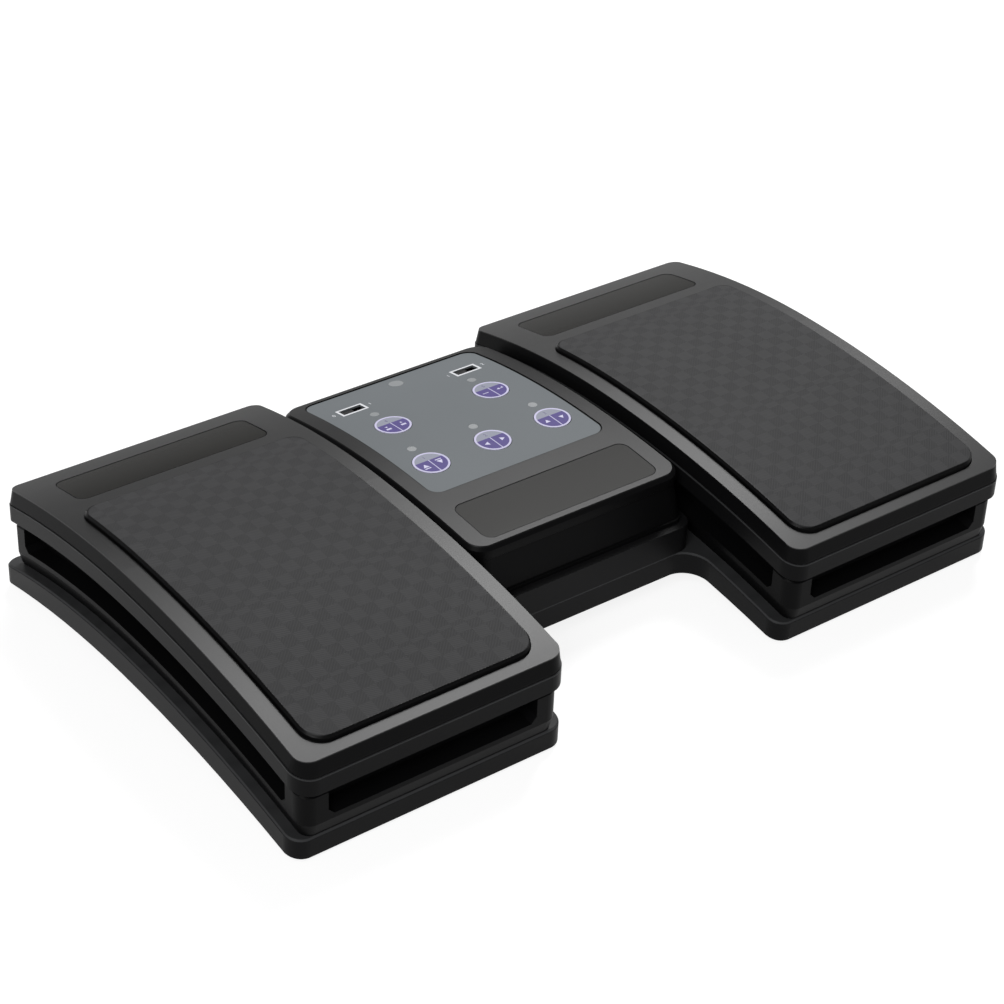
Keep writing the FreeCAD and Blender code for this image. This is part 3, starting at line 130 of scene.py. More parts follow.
class Finish:
    """A procedural material, built on its Principled shader."""

    def __init__(self, name):
        self.material = bpy.data.materials.new(name)
        self.material.use_nodes = True
        self.tree = self.material.node_tree
        self.shader = self.tree.nodes["Principled BSDF"]
        self.place = self.node("ShaderNodeTexCoord", {}, output="Object")

    def node(self, kind, settings, *inputs, output=0, **named):
        """Add a node: its settings first, then its inputs in order or by name."""
        node = self.tree.nodes.new(kind)
        for key, value in settings.items():
            setattr(node, key, value)
        for index, value in enumerate(inputs):
            self.feed(node.inputs[index], value)
        for key, value in named.items():
            self.feed(node.inputs[key.replace("_", " ")], value)
        return Value(self, node.outputs[output])

    def feed(self, socket, value):
        if isinstance(value, Value):
            self.tree.links.new(value.socket, socket)
        else:
            socket.default_value = value

    def set(self, **named):
        """Set or link the shader's own inputs."""
        for key, value in named.items():
            self.feed(self.shader.inputs[key.replace("_", " ")], value)

    def axes(self, centre=(0, 0, 0)):
        """X, Y and Z of Object coordinates, counted from a centre."""
        place = self.node("ShaderNodeVectorMath", {"operation": "SUBTRACT"}, self.place, centre)
        return [self.node("ShaderNodeSeparateXYZ", {}, place, output=axis) for axis in "XYZ"]

    def noise(self, scale, detail=2.0, rough=0.5):
        return self.node("ShaderNodeTexNoise", {}, Vector=self.place, Scale=scale, Detail=detail,
                         Roughness=rough)

    def mix(self, factor, first, second):
        """Blend two colours."""
        node = self.tree.nodes.new("ShaderNodeMix")
        node.data_type = "RGBA"
        self.feed(node.inputs[MIX_FACTOR], factor)
        for index, colour in ((MIX_FIRST, first), (MIX_SECOND, second)):
            self.feed(node.inputs[index], colour if isinstance(colour, Value) else (*colour, 1))
        return Value(self, node.outputs[MIX_RESULT])

    def bump(self, height, distance):
        """Turn a height pattern into a normal."""
        return self.node("ShaderNodeBump", {}, Strength=1.0, Distance=distance, Height=height)


def grey(level, tint=0.0):
    """A grey, a little blue where it has a tint."""
    return (level, level, level * (1 + tint))


def scaled(colour, share):
    return tuple(part * share for part in colour)


CLOUD_SCALE = 35
GRIT_SCALE = 2600
GRAIN = 0.012 * MM
PLASTIC_TINT = 0.06
DARK_SHARE = 0.85
LIGHT_SHARE = 1.15
ROUGHNESS_SPREAD = 0.06


def moulded(finish, shade, roughness, grain):
    """Colour, roughness and normal of fine-textured moulded plastic."""
    cloud = finish.noise(CLOUD_SCALE, 3.0)
    colour = finish.mix(cloud, grey(shade * DARK_SHARE, PLASTIC_TINT),
                        grey(shade * LIGHT_SHARE, PLASTIC_TINT))
    rough = cloud * ROUGHNESS_SPREAD + (roughness - ROUGHNESS_SPREAD / 2)
    return colour, rough, finish.bump(finish.noise(GRIT_SCALE), grain)


def satin_plastic(name, shade, roughness, gloss, grain=GRAIN):
    """Plain moulded plastic or rubber."""
    finish = Finish(name)
    colour, rough, normal = moulded(finish, shade, roughness, grain)
    finish.set(Base_Color=colour, Roughness=rough, Specular_IOR_Level=gloss, Normal=normal)
    return finish.material


# The arch of the body: its crest and the radii of the treads' surfaces before and behind it.
BEND_PLACE = 10.1 * MM
FRONT_RADIUS = 430 * MM
BACK_RADIUS = 290 * MM


def arched_height(y, z):
    """Height that a point of the arched body would have at the crest."""
    along = y - BEND_PLACE
    radius = along.under(0.0) * (FRONT_RADIUS - BACK_RADIUS) + BACK_RADIUS
    return z + radius - (radius * radius - along * along).root()


COVER_SHADE = 0.0050
COVER_ROUGHNESS = 0.36
SIDE_GLOSS = 0.04
SHEEN_ROUGHNESS = 0.42
TREAD_SHEEN = 0.55
MODULE_SHEEN = 0.32
FACE_DEPTH = 0.3 * MM
MASK_BLUR = 0.1 * MM


def faced_shell(node, sheen):
    """Cover plastic whose upper face has more sheen than its sides."""
    finish = Finish(node + "_shell")
    _, y, z = finish.axes()
    face_level = corners(node)[1].z - FACE_DEPTH
    side_wall = arched_height(y, z).under(face_level, MASK_BLUR)
    colour, rough, normal = moulded(finish, COVER_SHADE, COVER_ROUGHNESS, GRAIN)
    finish.set(Base_Color=colour, Roughness=rough, Specular_IOR_Level=SIDE_GLOSS, Normal=normal,
               Coat_Weight=(1.0 - side_wall) * sheen, Coat_Roughness=SHEEN_ROUGHNESS,
               Coat_IOR=1.5)
    return finish.material


SEAM_LEVEL = 41.5 * MM
SKIRT_LEVEL = 18.2 * MM
# Width, colour and roughness of a painted highlight along the top edge of an arched side.
HIGHLIGHT_WIDTH = 0.25 * MM
HIGHLIGHT_COLOUR = (0.055, 0.056, 0.058)
HIGHLIGHT_ROUGHNESS = 0.1


def painted_highlight_trim(name, shade, roughness, gloss, level):
    """Moulded plastic with a painted highlight: a paler, rougher line along the top edge of an
    arched side.
    """
    finish = Finish(name)
    _, y, z = finish.axes()
    edge_highlight = abs(arched_height(y, z) - (level - HIGHLIGHT_WIDTH)).under(HIGHLIGHT_WIDTH, MASK_BLUR)
    colour, rough, normal = moulded(finish, shade, roughness, GRAIN)
    finish.set(Base_Color=finish.mix(edge_highlight, colour, HIGHLIGHT_COLOUR),
               Roughness=rough + edge_highlight * HIGHLIGHT_ROUGHNESS, Specular_IOR_Level=gloss,
               Normal=normal)
    return finish.material


def rounded_box(finish, node, corner):
    """Distance inward from the edge of a node with a rounded plan, in metres."""
    centre = middle(node)
    half = size(node) / 2
    x, y, _ = finish.axes((centre.x, centre.y, 0))
    dx = (abs(x) - (half.x - corner)).at_least(0.0)
    dy = (abs(y) - (half.y - corner)).at_least(0.0)
    reach = (dx * dx + dy * dy).root()
    inside = (abs(x) - half.x).at_least(abs(y) - half.y) * -1
    return inside.at_most(corner - reach)


TREAD_CELL = 4.7 * MM
TREAD_HATCH = 0.8 * MM
TREAD_RIM = 0.85 * MM
RIM_BLUR = 0.12 * MM
TREAD_CORNER = 6.5 * MM
TREAD_DARK = (0.027, 0.027, 0.028)
TREAD_LIGHT = (0.053, 0.053, 0.0545)
TREAD_EDGE = (0.003, 0.003, 0.0032)
TREAD_RELIEF = 0.03 * MM


def tread_rubber(side):
    """Woven-look rubber: checks of fine hatching that turns from check to check, with alternate
    checks painted lighter as painted sheen.
    """
    node = side + "_tread_pad"
    finish = Finish(side + "_tread_rubber")
    centre = middle(node)
    x, y, _ = finish.axes((centre.x, centre.y, 0))
    rim = rounded_box(finish, node, TREAD_CORNER).under(TREAD_RIM, RIM_BLUR)
    white, black = (1, 1, 1, 1), (0, 0, 0, 1)
    checks = finish.node("ShaderNodeTexChecker", {}, finish.place, white, black,
                         1 / TREAD_CELL, output=1)
    pitch = math.tau / TREAD_HATCH / math.sqrt(2)
    rising = ((x + y) * pitch).math("SINE")
    falling = ((x - y) * pitch).math("SINE")
    hatch = rising * checks + falling * (1 - checks)
    wear = finish.noise(26, 3.0)
    scuffs = finish.noise(300, 4.0, 0.7)
    # The checks term paints alternate checks lighter: painted sheen of the hatch turning from
    # check to check.
    tone = checks * 0.24 + hatch * 0.05 + wear * 0.35 + scuffs * 0.35 - 0.06
    weave = (hatch * 0.5 + 0.5 + checks * 0.6) * (1 - rim)
    cloth = finish.mix(tone, TREAD_DARK, TREAD_LIGHT)
    finish.set(Base_Color=finish.mix(rim, cloth, TREAD_EDGE),
               Roughness=0.66 - rim * 0.3 + hatch * 0.05, Specular_IOR_Level=0.12,
               Normal=finish.bump(weave, TREAD_RELIEF))
    return finish.material


# Width, blur and colour of the painted shade of the groove round a thin sheet.
GROOVE_SHADE_WIDTH = 0.3 * MM
GROOVE_SHADE_BLUR = 0.06 * MM
GROOVE_SHADE_COLOUR = grey(0.004)


def groove_shade(finish, node, corner):
    """1 on a thin band along a sheet's edge, painted dark as painted shade of the groove round
    the sheet.
    """
    return rounded_box(finish, node, corner).under(GROOVE_SHADE_WIDTH, GROOVE_SHADE_BLUR)


LABEL_CORNER = 3.5 * MM
PLATE_DARK = (0.016, 0.01552, 0.0144)
PLATE_LIGHT = (0.0192, 0.01872, 0.01696)
PLATE_GLOSS = 0.045


def glossy_plate(node):
    """Dark acrylic inlay."""
    finish = Finish(node + "_gloss")
    haze = finish.noise(60, 3.0)
    face = finish.mix(haze, PLATE_DARK, PLATE_LIGHT)
    # The plate's edge is painted dark: painted shade of its groove.
    finish.set(Base_Color=finish.mix(groove_shade(finish, node, LABEL_CORNER), face, GROOVE_SHADE_COLOUR),
               Roughness=haze * 0.06 + 0.2, Specular_IOR_Level=PLATE_GLOSS,
               Normal=finish.bump(finish.noise(900), 0.004 * MM))
    return finish.material


PANEL_CORNER = 4.5 * MM
PANEL_GREY = (0.150, 0.163, 0.172)
PANEL_GLOSS = 0.05
FILM_RELIEF = 0.006 * MM


def panel_film():
    """Printed polyester sheet, a little glossy."""
    finish = Finish("panel_film")
    mottle = finish.noise(18)
    face = finish.mix(mottle, scaled(PANEL_GREY, 0.93), scaled(PANEL_GREY, 1.07))
    # The film's edge is painted dark: painted shade of its groove.
    edge = groove_shade(finish, "control_panel", PANEL_CORNER)
    finish.set(Base_Color=finish.mix(edge, face, GROOVE_SHADE_COLOUR),
               Roughness=0.45 + mottle * 0.06, Specular_IOR_Level=PANEL_GLOSS,
               Normal=finish.bump(finish.noise(3000), FILM_RELIEF))
    return finish.material


KEY_PURPLE = (0.086, 0.068, 0.205)
KEY_LILAC = (0.53, 0.51, 0.68)
KEY_SEGMENT = (0.27, 0.28, 0.34)
KEY_RING = 0.7 * MM
KEY_SPLIT = 0.16 * MM
KEY_CHORD = 1.6 * MM
PRINT_BLUR = 0.05 * MM
KEY_GLOSS = 0.08


def key_print(name):
    """Purple disc in a pale ring, split by a pale line, with a grey segment at the back."""
    finish = Finish(name + "_print")
    centre = middle(name)
    radius = size(name).x / 2
    x, y, _ = finish.axes((centre.x, centre.y, 0))
    ring = (x * x + y * y).root().over(radius - KEY_RING, PRINT_BLUR)
    segment = y.over(KEY_CHORD, PRINT_BLUR)
    split = abs(x).under(KEY_SPLIT, PRINT_BLUR) * (1 - segment)
    mottle = finish.noise(400)
    purple = finish.mix(mottle, KEY_PURPLE, scaled(KEY_PURPLE, 1.2))
    inner = finish.mix(segment, purple, KEY_SEGMENT)
    finish.set(Base_Color=finish.mix(ring.at_least(split), inner, KEY_LILAC),
               Roughness=0.42 + mottle * 0.08, Specular_IOR_Level=KEY_GLOSS,
               Normal=finish.bump(finish.noise(3000), FILM_RELIEF))
    return finish.material


STEEL_SHADE = 0.55
STEEL_TINT = 0.02


def bright_steel():
    """Turned or drawn steel with faint marks."""
    finish = Finish("steel")
    marks = finish.noise(240, 4.0)
    finish.set(Base_Color=finish.mix(marks, grey(STEEL_SHADE * 0.85, STEEL_TINT),
                                     grey(STEEL_SHADE, STEEL_TINT)),
               Metallic=1.0, Roughness=marks * 0.15 + 0.3)
    return finish.material


BOARD_GREEN = (0.012, 0.075, 0.035)
TRACK_GREEN = (0.02, 0.13, 0.06)


def board_green():
    """Lacquered circuit board with raised copper."""
    finish = Finish("circuit_board")
    marks = finish.noise(700)
    finish.set(Base_Color=finish.mix(marks.over(0.55, 0.03), BOARD_GREEN, TRACK_GREEN),
               Roughness=0.35 + marks * 0.1, Normal=finish.bump(marks, 0.02 * MM))
    return finish.material


def print_ink(name, colour):
    """Matt ink or coloured plastic of one shade."""
    finish = Finish(name)
    speck = finish.noise(4000)
    finish.set(Base_Color=finish.mix(speck, scaled(colour, 0.92), colour),
               Roughness=0.4 + speck * 0.1)
    return finish.material


# Lower covers and base tray carry a painted highlight along their top edges.
SATIN_TRIM = painted_highlight_trim("satin_trim", 0.0065, 0.36, 0.055, SEAM_LEVEL)
SATIN_TRAY = painted_highlight_trim("satin_tray", 0.0075, 0.38, 0.065, SKIRT_LEVEL)
# Darker than the trim and tray plastic: its colour is painted shade of the walls in the recess
# under the covers.
SATIN_WALL = satin_plastic("satin_wall", 0.0040, 0.40, 0.05)
DARK_PLASTIC = satin_plastic("dark_plastic", 0.008, 0.5, 0.2)
FOOT_RUBBER = satin_plastic("foot_rubber", 0.012, 0.75, 0.3, 0.03 * MM)
BATTERY_WRAP = satin_plastic("battery_wrap", 0.35, 0.4, 0.5)
STEEL = bright_steel()
BOARD = board_green()
LIGHT_PLASTIC = print_ink("light_plastic", (0.22, 0.232, 0.24))
WHITE_INK = print_ink("white_ink", (0.68, 0.69, 0.72))
LILAC_INK = print_ink("lilac_ink", (0.52, 0.50, 0.68))
DARK_INK = print_ink("dark_ink", (0.10, 0.085, 0.20))


def dress(material, *nodes):
    """Give CAD nodes their finish."""
    for node in nodes:
        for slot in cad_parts[node].material_slots:
            slot.material = material


def finish_nodes():
    for side in SIDES:
        dress(faced_shell(side + "_top_cover", TREAD_SHEEN), side + "_top_cover")
        dress(SATIN_TRIM, side + "_lower_cover")
        dress(SATIN_WALL, side + "_wing_housing")
        dress(tread_rubber(side), side + "_tread_pad")
        dress(FOOT_RUBBER, side + "_stop_pads")
        dress(BOARD, side + "_sensor_board")
        dress(DARK_PLASTIC, side + "_switch_knob")
        dress(STEEL, side + "_hinge_pin", side + "_plate_screws", side + "_magnet")
    for plate in ("left_nameplate", "right_nameplate", "centre_nameplate"):
        dress(glossy_plate(plate), plate)
    for key in KEY_NAMES:
        dress(key_print(key), key)
    dress(faced_shell("centre_cover", MODULE_SHEEN), "centre_cover")
    dress(SATIN_WALL, "centre_housing")
    dress(SATIN_TRAY, "base_tray")
    dress(panel_film(), "control_panel")
    dress(LIGHT_PLASTIC, "mode_lights", "status_light")
    dress(BOARD, "key_board", "main_board")
    dress(DARK_PLASTIC, "key_switches", "slide_switches")
    dress(STEEL, "board_screws")
    dress(BATTERY_WRAP, "battery")


def surface(node):
    """A node's faces, ready to be probed."""
    mesh = bmesh.new()
    mesh.from_mesh(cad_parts[node].data)
    tree = BVHTree.FromBMesh(mesh)
    mesh.free()
    return tree


PROBE_HEIGHT = 80 * MM
PRINT_SINK = 0.006 * MM


def lay_on(mesh, tree):
    """Drop a flat print onto a surface, just sunk into it."""
    for vertex in mesh.verts:
        start = Vector((vertex.co.x, vertex.co.y, PROBE_HEIGHT))
        spot = tree.ray_cast(start, -UP)[0] or tree.find_nearest(start)[0]
        vertex.co.z += spot.z - PRINT_SINK


def islands(node):
    """Lowest and highest corners of each solid of a node."""
    mesh = bmesh.new()
    mesh.from_mesh(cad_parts[node].data)
    bmesh.ops.remove_doubles(mesh, verts=mesh.verts, dist=1e-7)
    left = set(mesh.verts)
    boxes = []
    while left:
        group = [left.pop()]
        for vertex in group:
            for edge in vertex.link_edges:
                other = edge.other_vert(vertex)
                if other in left:
                    left.discard(other)
                    group.append(other)
        spans = [sorted(vertex.co[axis] for vertex in group) for axis in range(3)]
        boxes.append((Vector([span[0] for span in spans]), Vector([span[-1] for span in spans])))
    mesh.free()
    return sorted(boxes, key=lambda box: tuple(box[0]))


WELD = 1e-6
CREASE = math.radians(40)


def make_piece(name, mesh, body, materials, smooth=True, stands_for=()):
    """Turn a bmesh into a finished piece."""
    bmesh.ops.remove_doubles(mesh, verts=mesh.verts, dist=WELD)
    bmesh.ops.recalc_face_normals(mesh, faces=mesh.faces)
    for face in mesh.faces:
        face.smooth = smooth
    data = bpy.data.meshes.new(name)
    mesh.to_mesh(data)
    mesh.free()
    for material in materials:
        data.materials.append(material)
    if smooth:
        data.set_sharp_from_angle(angle=CREASE)
    piece = bpy.data.objects.new(name, data)
    bpy.context.scene.collection.objects.link(piece)
    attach(piece, body)
    for node in stands_for:
        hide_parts(node)
    return piece


def join(whole, part):
    """Add one bmesh to another."""
    data = bpy.data.meshes.new("part")
    part.to_mesh(data)
    part.free()
    whole.from_mesh(data)
    bpy.data.meshes.remove(data)


def new_verts(extruded):
    """The vertices that an extrusion made."""
    return [item for item in extruded["geom"] if isinstance(item, bmesh.types.BMVert)]


def open_edges(mesh):
    return [edge for edge in mesh.edges if edge.is_boundary]


def turned(mesh, profile, centre, segments):
    """Spin a profile of (radius, height) points about an upright axis."""
    points = [mesh.verts.new((centre.x + radius, centre.y, height)) for radius, height in profile]
    edges = [mesh.edges.new(pair) for pair in zip(points, points[1:])]
    bmesh.ops.spin(mesh, geom=points + edges, cent=(centre.x, centre.y, 0), axis=UP,
                   angle=math.tau, steps=segments, use_merge=True)


FOOT_SEGMENTS = 48
FOOT_TOP_LEVEL = 60 * MM
# The face that stands on the floor: radii and heights in mm.
FOOT_FACE = ((0, 0.35), (3.4, 0.35), (3.9, 0), (4.9, 0), (5.1, 0.4), (5.7, 0.4), (5.9, 0))
# Its rounded rim: mm in from the foot's radius, and heights.
FOOT_RIM = ((0.8, 0), (0.25, 0.2), (0, 0.8), (0, 1.5))


def make_feet():
    """Rubber pucks with a moulded ring in the sole, fitted to their arched seats."""
    seats = surface("rubber_feet")
    feet = bmesh.new()
    for low, high in islands("rubber_feet"):
        centre = (low + high) / 2
        radius = (high.x - low.x) / 2
        profile = [(reach * MM, height * MM) for reach, height in FOOT_FACE]
        profile += [(radius - inset * MM, height * MM) for inset, height in FOOT_RIM]
        profile += [(radius * share, FOOT_TOP_LEVEL) for share in (1.0, 0.5, 0)]
        foot = bmesh.new()
        turned(foot, profile, centre, FOOT_SEGMENTS)
        for vertex in foot.verts:
            if vertex.co.z > FOOT_TOP_LEVEL / 2:
                inward = centre.xy + (vertex.co.xy - centre.xy) * 0.97
                start = Vector((inward.x, inward.y, PROBE_HEIGHT))
                vertex.co.z = seats.ray_cast(start, -UP)[0].z
        join(feet, foot)
    make_piece("rubber_pucks", feet, "base", [FOOT_RUBBER],
               stands_for=["rubber_feet"])


SCREW_SEGMENTS = 32
HEAD_HEIGHT = 1.6 * MM
# Underside of a pan head: shares of its radius, and heights.
PAN_PROFILE = ((0.72, 0), (0.90, 0.16 * MM), (1, 0.5 * MM), (1, HEAD_HEIGHT))
SHANK_SHARE = 0.46
POINT_SHARE = 0.6
POINT_LENGTH = 0.4 * MM
CROSS_REACH = 1.45 * MM
CROSS_ARM = CROSS_REACH * 0.24
CROSS_DEPTH = 0.95 * MM
CROSS_TAPER = 0.8
# Parts the outer from the inner lines of a 3 x 3 grid that spans -1 to 1.
GRID_SPLIT = 0.5


def screw(low, high):
    """Pan-head screw with its cross recess facing down."""
    centre = (low + high) / 2
    head = (high.x - low.x) / 2
    shank = head * SHANK_SHARE
    base = low.z
    profile = [(head * share, base + height) for share, height in PAN_PROFILE]
    profile += [(shank, base + HEAD_HEIGHT), (shank, high.z - POINT_LENGTH),
                (shank * POINT_SHARE, high.z), (0, high.z)]
    mesh = bmesh.new()
    turned(mesh, profile, centre, SCREW_SEGMENTS)
    bmesh.ops.remove_doubles(mesh, verts=mesh.verts, dist=WELD)
    foot = Vector((centre.x, centre.y, base))
    grid = bmesh.ops.create_grid(mesh, x_segments=3, y_segments=3, size=1.0,
                                 matrix=Matrix.Translation(foot))["verts"]
    outer = []
    for face in {face for vertex in grid for face in vertex.link_faces}:
        offset = face.calc_center_median() - foot
        if min(abs(offset.x), abs(offset.y)) > GRID_SPLIT:
            outer.append(face)
    bmesh.ops.delete(mesh, geom=outer, context="FACES")
    cross = [vertex for vertex in grid if vertex.is_valid]
    for vertex in cross:
        for axis in (0, 1):
            offset = vertex.co[axis] - centre[axis]
            reach = CROSS_REACH if abs(offset) > GRID_SPLIT else CROSS_ARM
            vertex.co[axis] = centre[axis] + math.copysign(reach, offset)
    faces = list({face for vertex in cross for face in vertex.link_faces})
    rims = [edge for edge in open_edges(mesh) if edge.verts[0].co.z < base + 0.01 * MM]
    bmesh.ops.triangle_fill(mesh, use_beauty=True, use_dissolve=False, edges=rims,
                            normal=(0, 0, -1))
    floor = new_verts(bmesh.ops.extrude_face_region(mesh, geom=faces))
    bmesh.ops.delete(mesh, geom=[face for face in faces if face.is_valid], context="FACES_ONLY")
    bmesh.ops.translate(mesh, verts=floor, vec=(0, 0, CROSS_DEPTH))
    for vertex in floor:
        vertex.co.xy = centre.xy + (vertex.co.xy - centre.xy) * CROSS_TAPER
    return mesh


def make_base_screws():
    screws = bmesh.new()
    for low, high in islands("base_screws"):
        join(screws, screw(low, high))
    make_piece("base_cross_screws", screws, "base", [STEEL],
               stands_for=["base_screws"])


SOCKET_SEGMENTS = 32
SOCKET_WALL = 0.3 * MM
TONGUE_WIDTH = 6.6 * MM
TONGUE_HEIGHT = 0.7 * MM
TONGUE_BEVEL = 0.12 * MM
TONGUE_LENGTH_SHARE = 1.6
TONGUE_PLACE_SHARE = 0.85


def rounded_tube(mesh, centre, half_width, half_height, front, back):
    """Skin of a socket shell with round ends, from its front to its back."""
    ring = bmesh.ops.create_circle(mesh, segments=SOCKET_SEGMENTS, radius=half_height)["verts"]
    stretch = half_width - half_height
    for vertex in ring:
        across = vertex.co.x + math.copysign(stretch, vertex.co.x)
        vertex.co = Vector((centre.x + across, front, centre.z + vertex.co.y))
    edges = [edge for edge in mesh.edges if edge.verts[0] in ring and edge.verts[1] in ring]
    for vertex in new_verts(bmesh.ops.extrude_edge_only(mesh, edges=edges)):
        vertex.co.y = back


def make_socket():
    """Drawn steel can with a contact tongue."""
    low, high = corners("charging_socket")
    centre = (low + high) / 2
    half = (high - low) / 2
    mesh = bmesh.new()
    rounded_tube(mesh, centre, half.x, half.z, low.y, high.y)
    rounded_tube(mesh, centre, half.x - SOCKET_WALL, half.z - SOCKET_WALL,
                 low.y + SOCKET_WALL, high.y)
    mouths = [edge for edge in open_edges(mesh) if edge.verts[0].co.y > high.y - WELD]
    bmesh.ops.bridge_loops(mesh, edges=mouths)
    bmesh.ops.holes_fill(mesh, edges=open_edges(mesh), sides=SOCKET_SEGMENTS)
    tongue = bmesh.new()
    bmesh.ops.create_cube(tongue, size=1.0)
    bmesh.ops.scale(tongue, verts=tongue.verts,
                    vec=(TONGUE_WIDTH, half.y * TONGUE_LENGTH_SHARE, TONGUE_HEIGHT))
    bmesh.ops.bevel(tongue, geom=tongue.edges[:], offset=TONGUE_BEVEL, offset_type="OFFSET",
                    segments=2, profile=0.5, affect="EDGES", material=-1)
    bmesh.ops.translate(tongue, verts=tongue.verts,
                        vec=(centre.x, low.y + half.y * TONGUE_PLACE_SHARE, centre.z))
    for face in tongue.faces:
        face.material_index = 1
    join(mesh, tongue)
    make_piece("socket_can", mesh, "base", [STEEL, DARK_PLASTIC],
               stands_for=["charging_socket"])


COIL_TURNS = 7
TURN_STEPS = 26
WIRE_SEGMENTS = 12
WIRE_RADIUS = 0.6 * MM


def make_return_springs():
    """Coil springs, each with a mesh of its own, in place of the return spring nodes."""
    steps = COIL_TURNS * TURN_STEPS
    for side in SIDES:
        node = side + "_return_spring"
        low, high = corners(node)
        centre = (low + high) / 2
        coil_radius = (high.x - low.x) / 2 - WIRE_RADIUS
        rise = high.z - low.z - 2 * WIRE_RADIUS
        mesh = bmesh.new()
        wire = bmesh.ops.create_circle(mesh, cap_ends=True, segments=WIRE_SEGMENTS,
                                       radius=WIRE_RADIUS)["verts"]
        bmesh.ops.rotate(mesh, verts=wire, matrix=Matrix.Rotation(math.pi / 2, 3, "X"))
        bmesh.ops.translate(mesh, verts=wire,
                            vec=(centre.x + coil_radius, centre.y, low.z + WIRE_RADIUS))
        bmesh.ops.spin(mesh, geom=mesh.verts[:] + mesh.edges[:] + mesh.faces[:],
                       cent=(centre.x, centre.y, 0), axis=UP, dvec=(0, 0, rise / steps),
                       angle=math.tau * COIL_TURNS, steps=steps)
        bmesh.ops.holes_fill(mesh, edges=open_edges(mesh), sides=WIRE_SEGMENTS)
        spring = make_piece(side + "_coil_spring", mesh, "base", [STEEL],
                            stands_for=[node])
        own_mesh(spring)


INK = 0.03 * MM


def number(text, height):
    """A plain number, flat and centred."""
    digit_share = 0.7
    curve = bpy.data.curves.new("number", "FONT")
    curve.body = text
    curve.size = height * MM / digit_share
    curve.align_x = "CENTER"
    curve.align_y = "CENTER"
    curve.resolution_u = 4
    figure = bpy.data.objects.new("number", curve)
    bpy.context.scene.collection.objects.link(figure)
    bpy.context.view_layer.update()
    data = bpy.data.meshes.new_from_object(figure)
    bpy.data.objects.remove(figure)
    bpy.data.curves.remove(curve)
    part = bmesh.new()
    part.from_mesh(data)
    bpy.data.meshes.remove(data)
    return part


def bar(width, height):
    part = bmesh.new()
    bmesh.ops.create_grid(part, x_segments=4, y_segments=2, size=0.5)
    bmesh.ops.scale(part, verts=part.verts, vec=(width * MM, height * MM, 1))
    return part


def arrow(reach, heading):
    """Filled triangle that points along a heading, in degrees from +X."""
    part = bmesh.new()
    bmesh.ops.create_circle(part, cap_ends=True, segments=3, radius=reach * MM)
    turn = Matrix.Rotation(math.radians(heading - 90), 3, "Z")
    bmesh.ops.rotate(part, verts=part.verts, matrix=turn)
    return part


def border(width, height, edge):
    """Rectangle with an opening of the given size."""
    part = bmesh.new()
    bmesh.ops.create_grid(part, x_segments=1, y_segments=1, size=0.5)
    bmesh.ops.scale(part, verts=part.verts,
                    vec=((width + 2 * edge) * MM, (height + 2 * edge) * MM, 1))
    bmesh.ops.inset_region(part, faces=part.faces[:], thickness=edge * MM, use_even_offset=True,
                           use_boundary=True)
    opening = min(part.faces, key=lambda face: face.calc_center_median().length)
    bmesh.ops.delete(part, geom=[opening], context="FACES_ONLY")
    bmesh.ops.subdivide_edges(part, edges=part.edges[:], cuts=1, use_grid_fill=True)
    return part


def add_mark(marks, part, x, y):
    """Put a flat shape in its place, with the thickness of a print."""
    bmesh.ops.translate(part, verts=part.verts, vec=(x, y, 0))
    raised = bmesh.ops.extrude_face_region(part, geom=part.faces[:], use_keep_orig=True)
    bmesh.ops.translate(part, verts=new_verts(raised), vec=(0, 0, INK))
    join(marks, part)


LEFT_HALF, RIGHT_HALF = -2.9, 2.9
SIGN_ROW = -1.1
NUMBER_SPOT = (-0.4, 3.5)
NUMBER_HEIGHT = 1.5
# Each key's number, and its signs: half of the key, offset on it, shape and the shape's sizes,
# in mm and degrees.
KEY_PRINTS = {
    "mode_key_1": ("4", ((LEFT_HALF, 0, -0.75, bar, 1.9, 0.95),
                         (LEFT_HALF, 0, 0.85, arrow, 0.62, -90),
                         (RIGHT_HALF, 0, -0.75, bar, 1.9, 0.95),
                         (RIGHT_HALF, 0, 0.85, arrow, 0.62, 90))),
    "mode_key_2": ("5", ((LEFT_HALF, 0, 0, bar, 2.3, 0.35),
                         (RIGHT_HALF, -0.5, 0, arrow, 0.7, 180),
                         (RIGHT_HALF, 0.6, 0, bar, 1.6, 0.32),
                         (RIGHT_HALF, 1.3, 0.45, bar, 0.32, 1.1))),
    "mode_key_3": ("1", ((LEFT_HALF, 0, 0, arrow, 1.25, 90),
                         (RIGHT_HALF, 0, 0.2, arrow, 1.25, -90),
                         (LEFT_HALF, 0, -1.3, bar, 2.3, 0.45),
                         (RIGHT_HALF, 0, 1.5, bar, 2.3, 0.45))),
    "mode_key_4": ("2", ((LEFT_HALF, 0, 0, arrow, 1.1, 180),
                         (RIGHT_HALF, 0, 0, arrow, 1.1, 0))),
    "mode_key_5": ("3", ((LEFT_HALF, 0, 0, arrow, 1.1, 90),
                         (RIGHT_HALF, 0, 0, arrow, 1.1, -90))),
}


def make_key_prints():
    """Two plain control signs and a small number on each key."""
    for name in KEY_NAMES:
        centre = middle(name)
        tree = surface(name)
        digits, signs = KEY_PRINTS[name]
        icons = bmesh.new()
        for half, dx, dy, shape, *sizes in signs:
            add_mark(icons, shape(*sizes), centre.x + (half + dx) * MM,
                     centre.y + (SIGN_ROW + dy) * MM)
        lay_on(icons, tree)
        make_piece(name + "_signs", icons, name, [LILAC_INK], smooth=False)
        figure = bmesh.new()
        add_mark(figure, number(digits, NUMBER_HEIGHT), centre.x + NUMBER_SPOT[0] * MM,
                 centre.y + NUMBER_SPOT[1] * MM)
        lay_on(figure, tree)
        make_piece(name + "_number", figure, name, [DARK_INK], smooth=False)


# Sizes of the switches' windows and of the print round them, in mm.
WINDOW = (8.6, 3.6)
WINDOW_BORDER = 0.8
WINDOW_NUMBER_REACH = 7.2
SWITCH_NUMBERS = (("0", "1"), ("1", "2"))


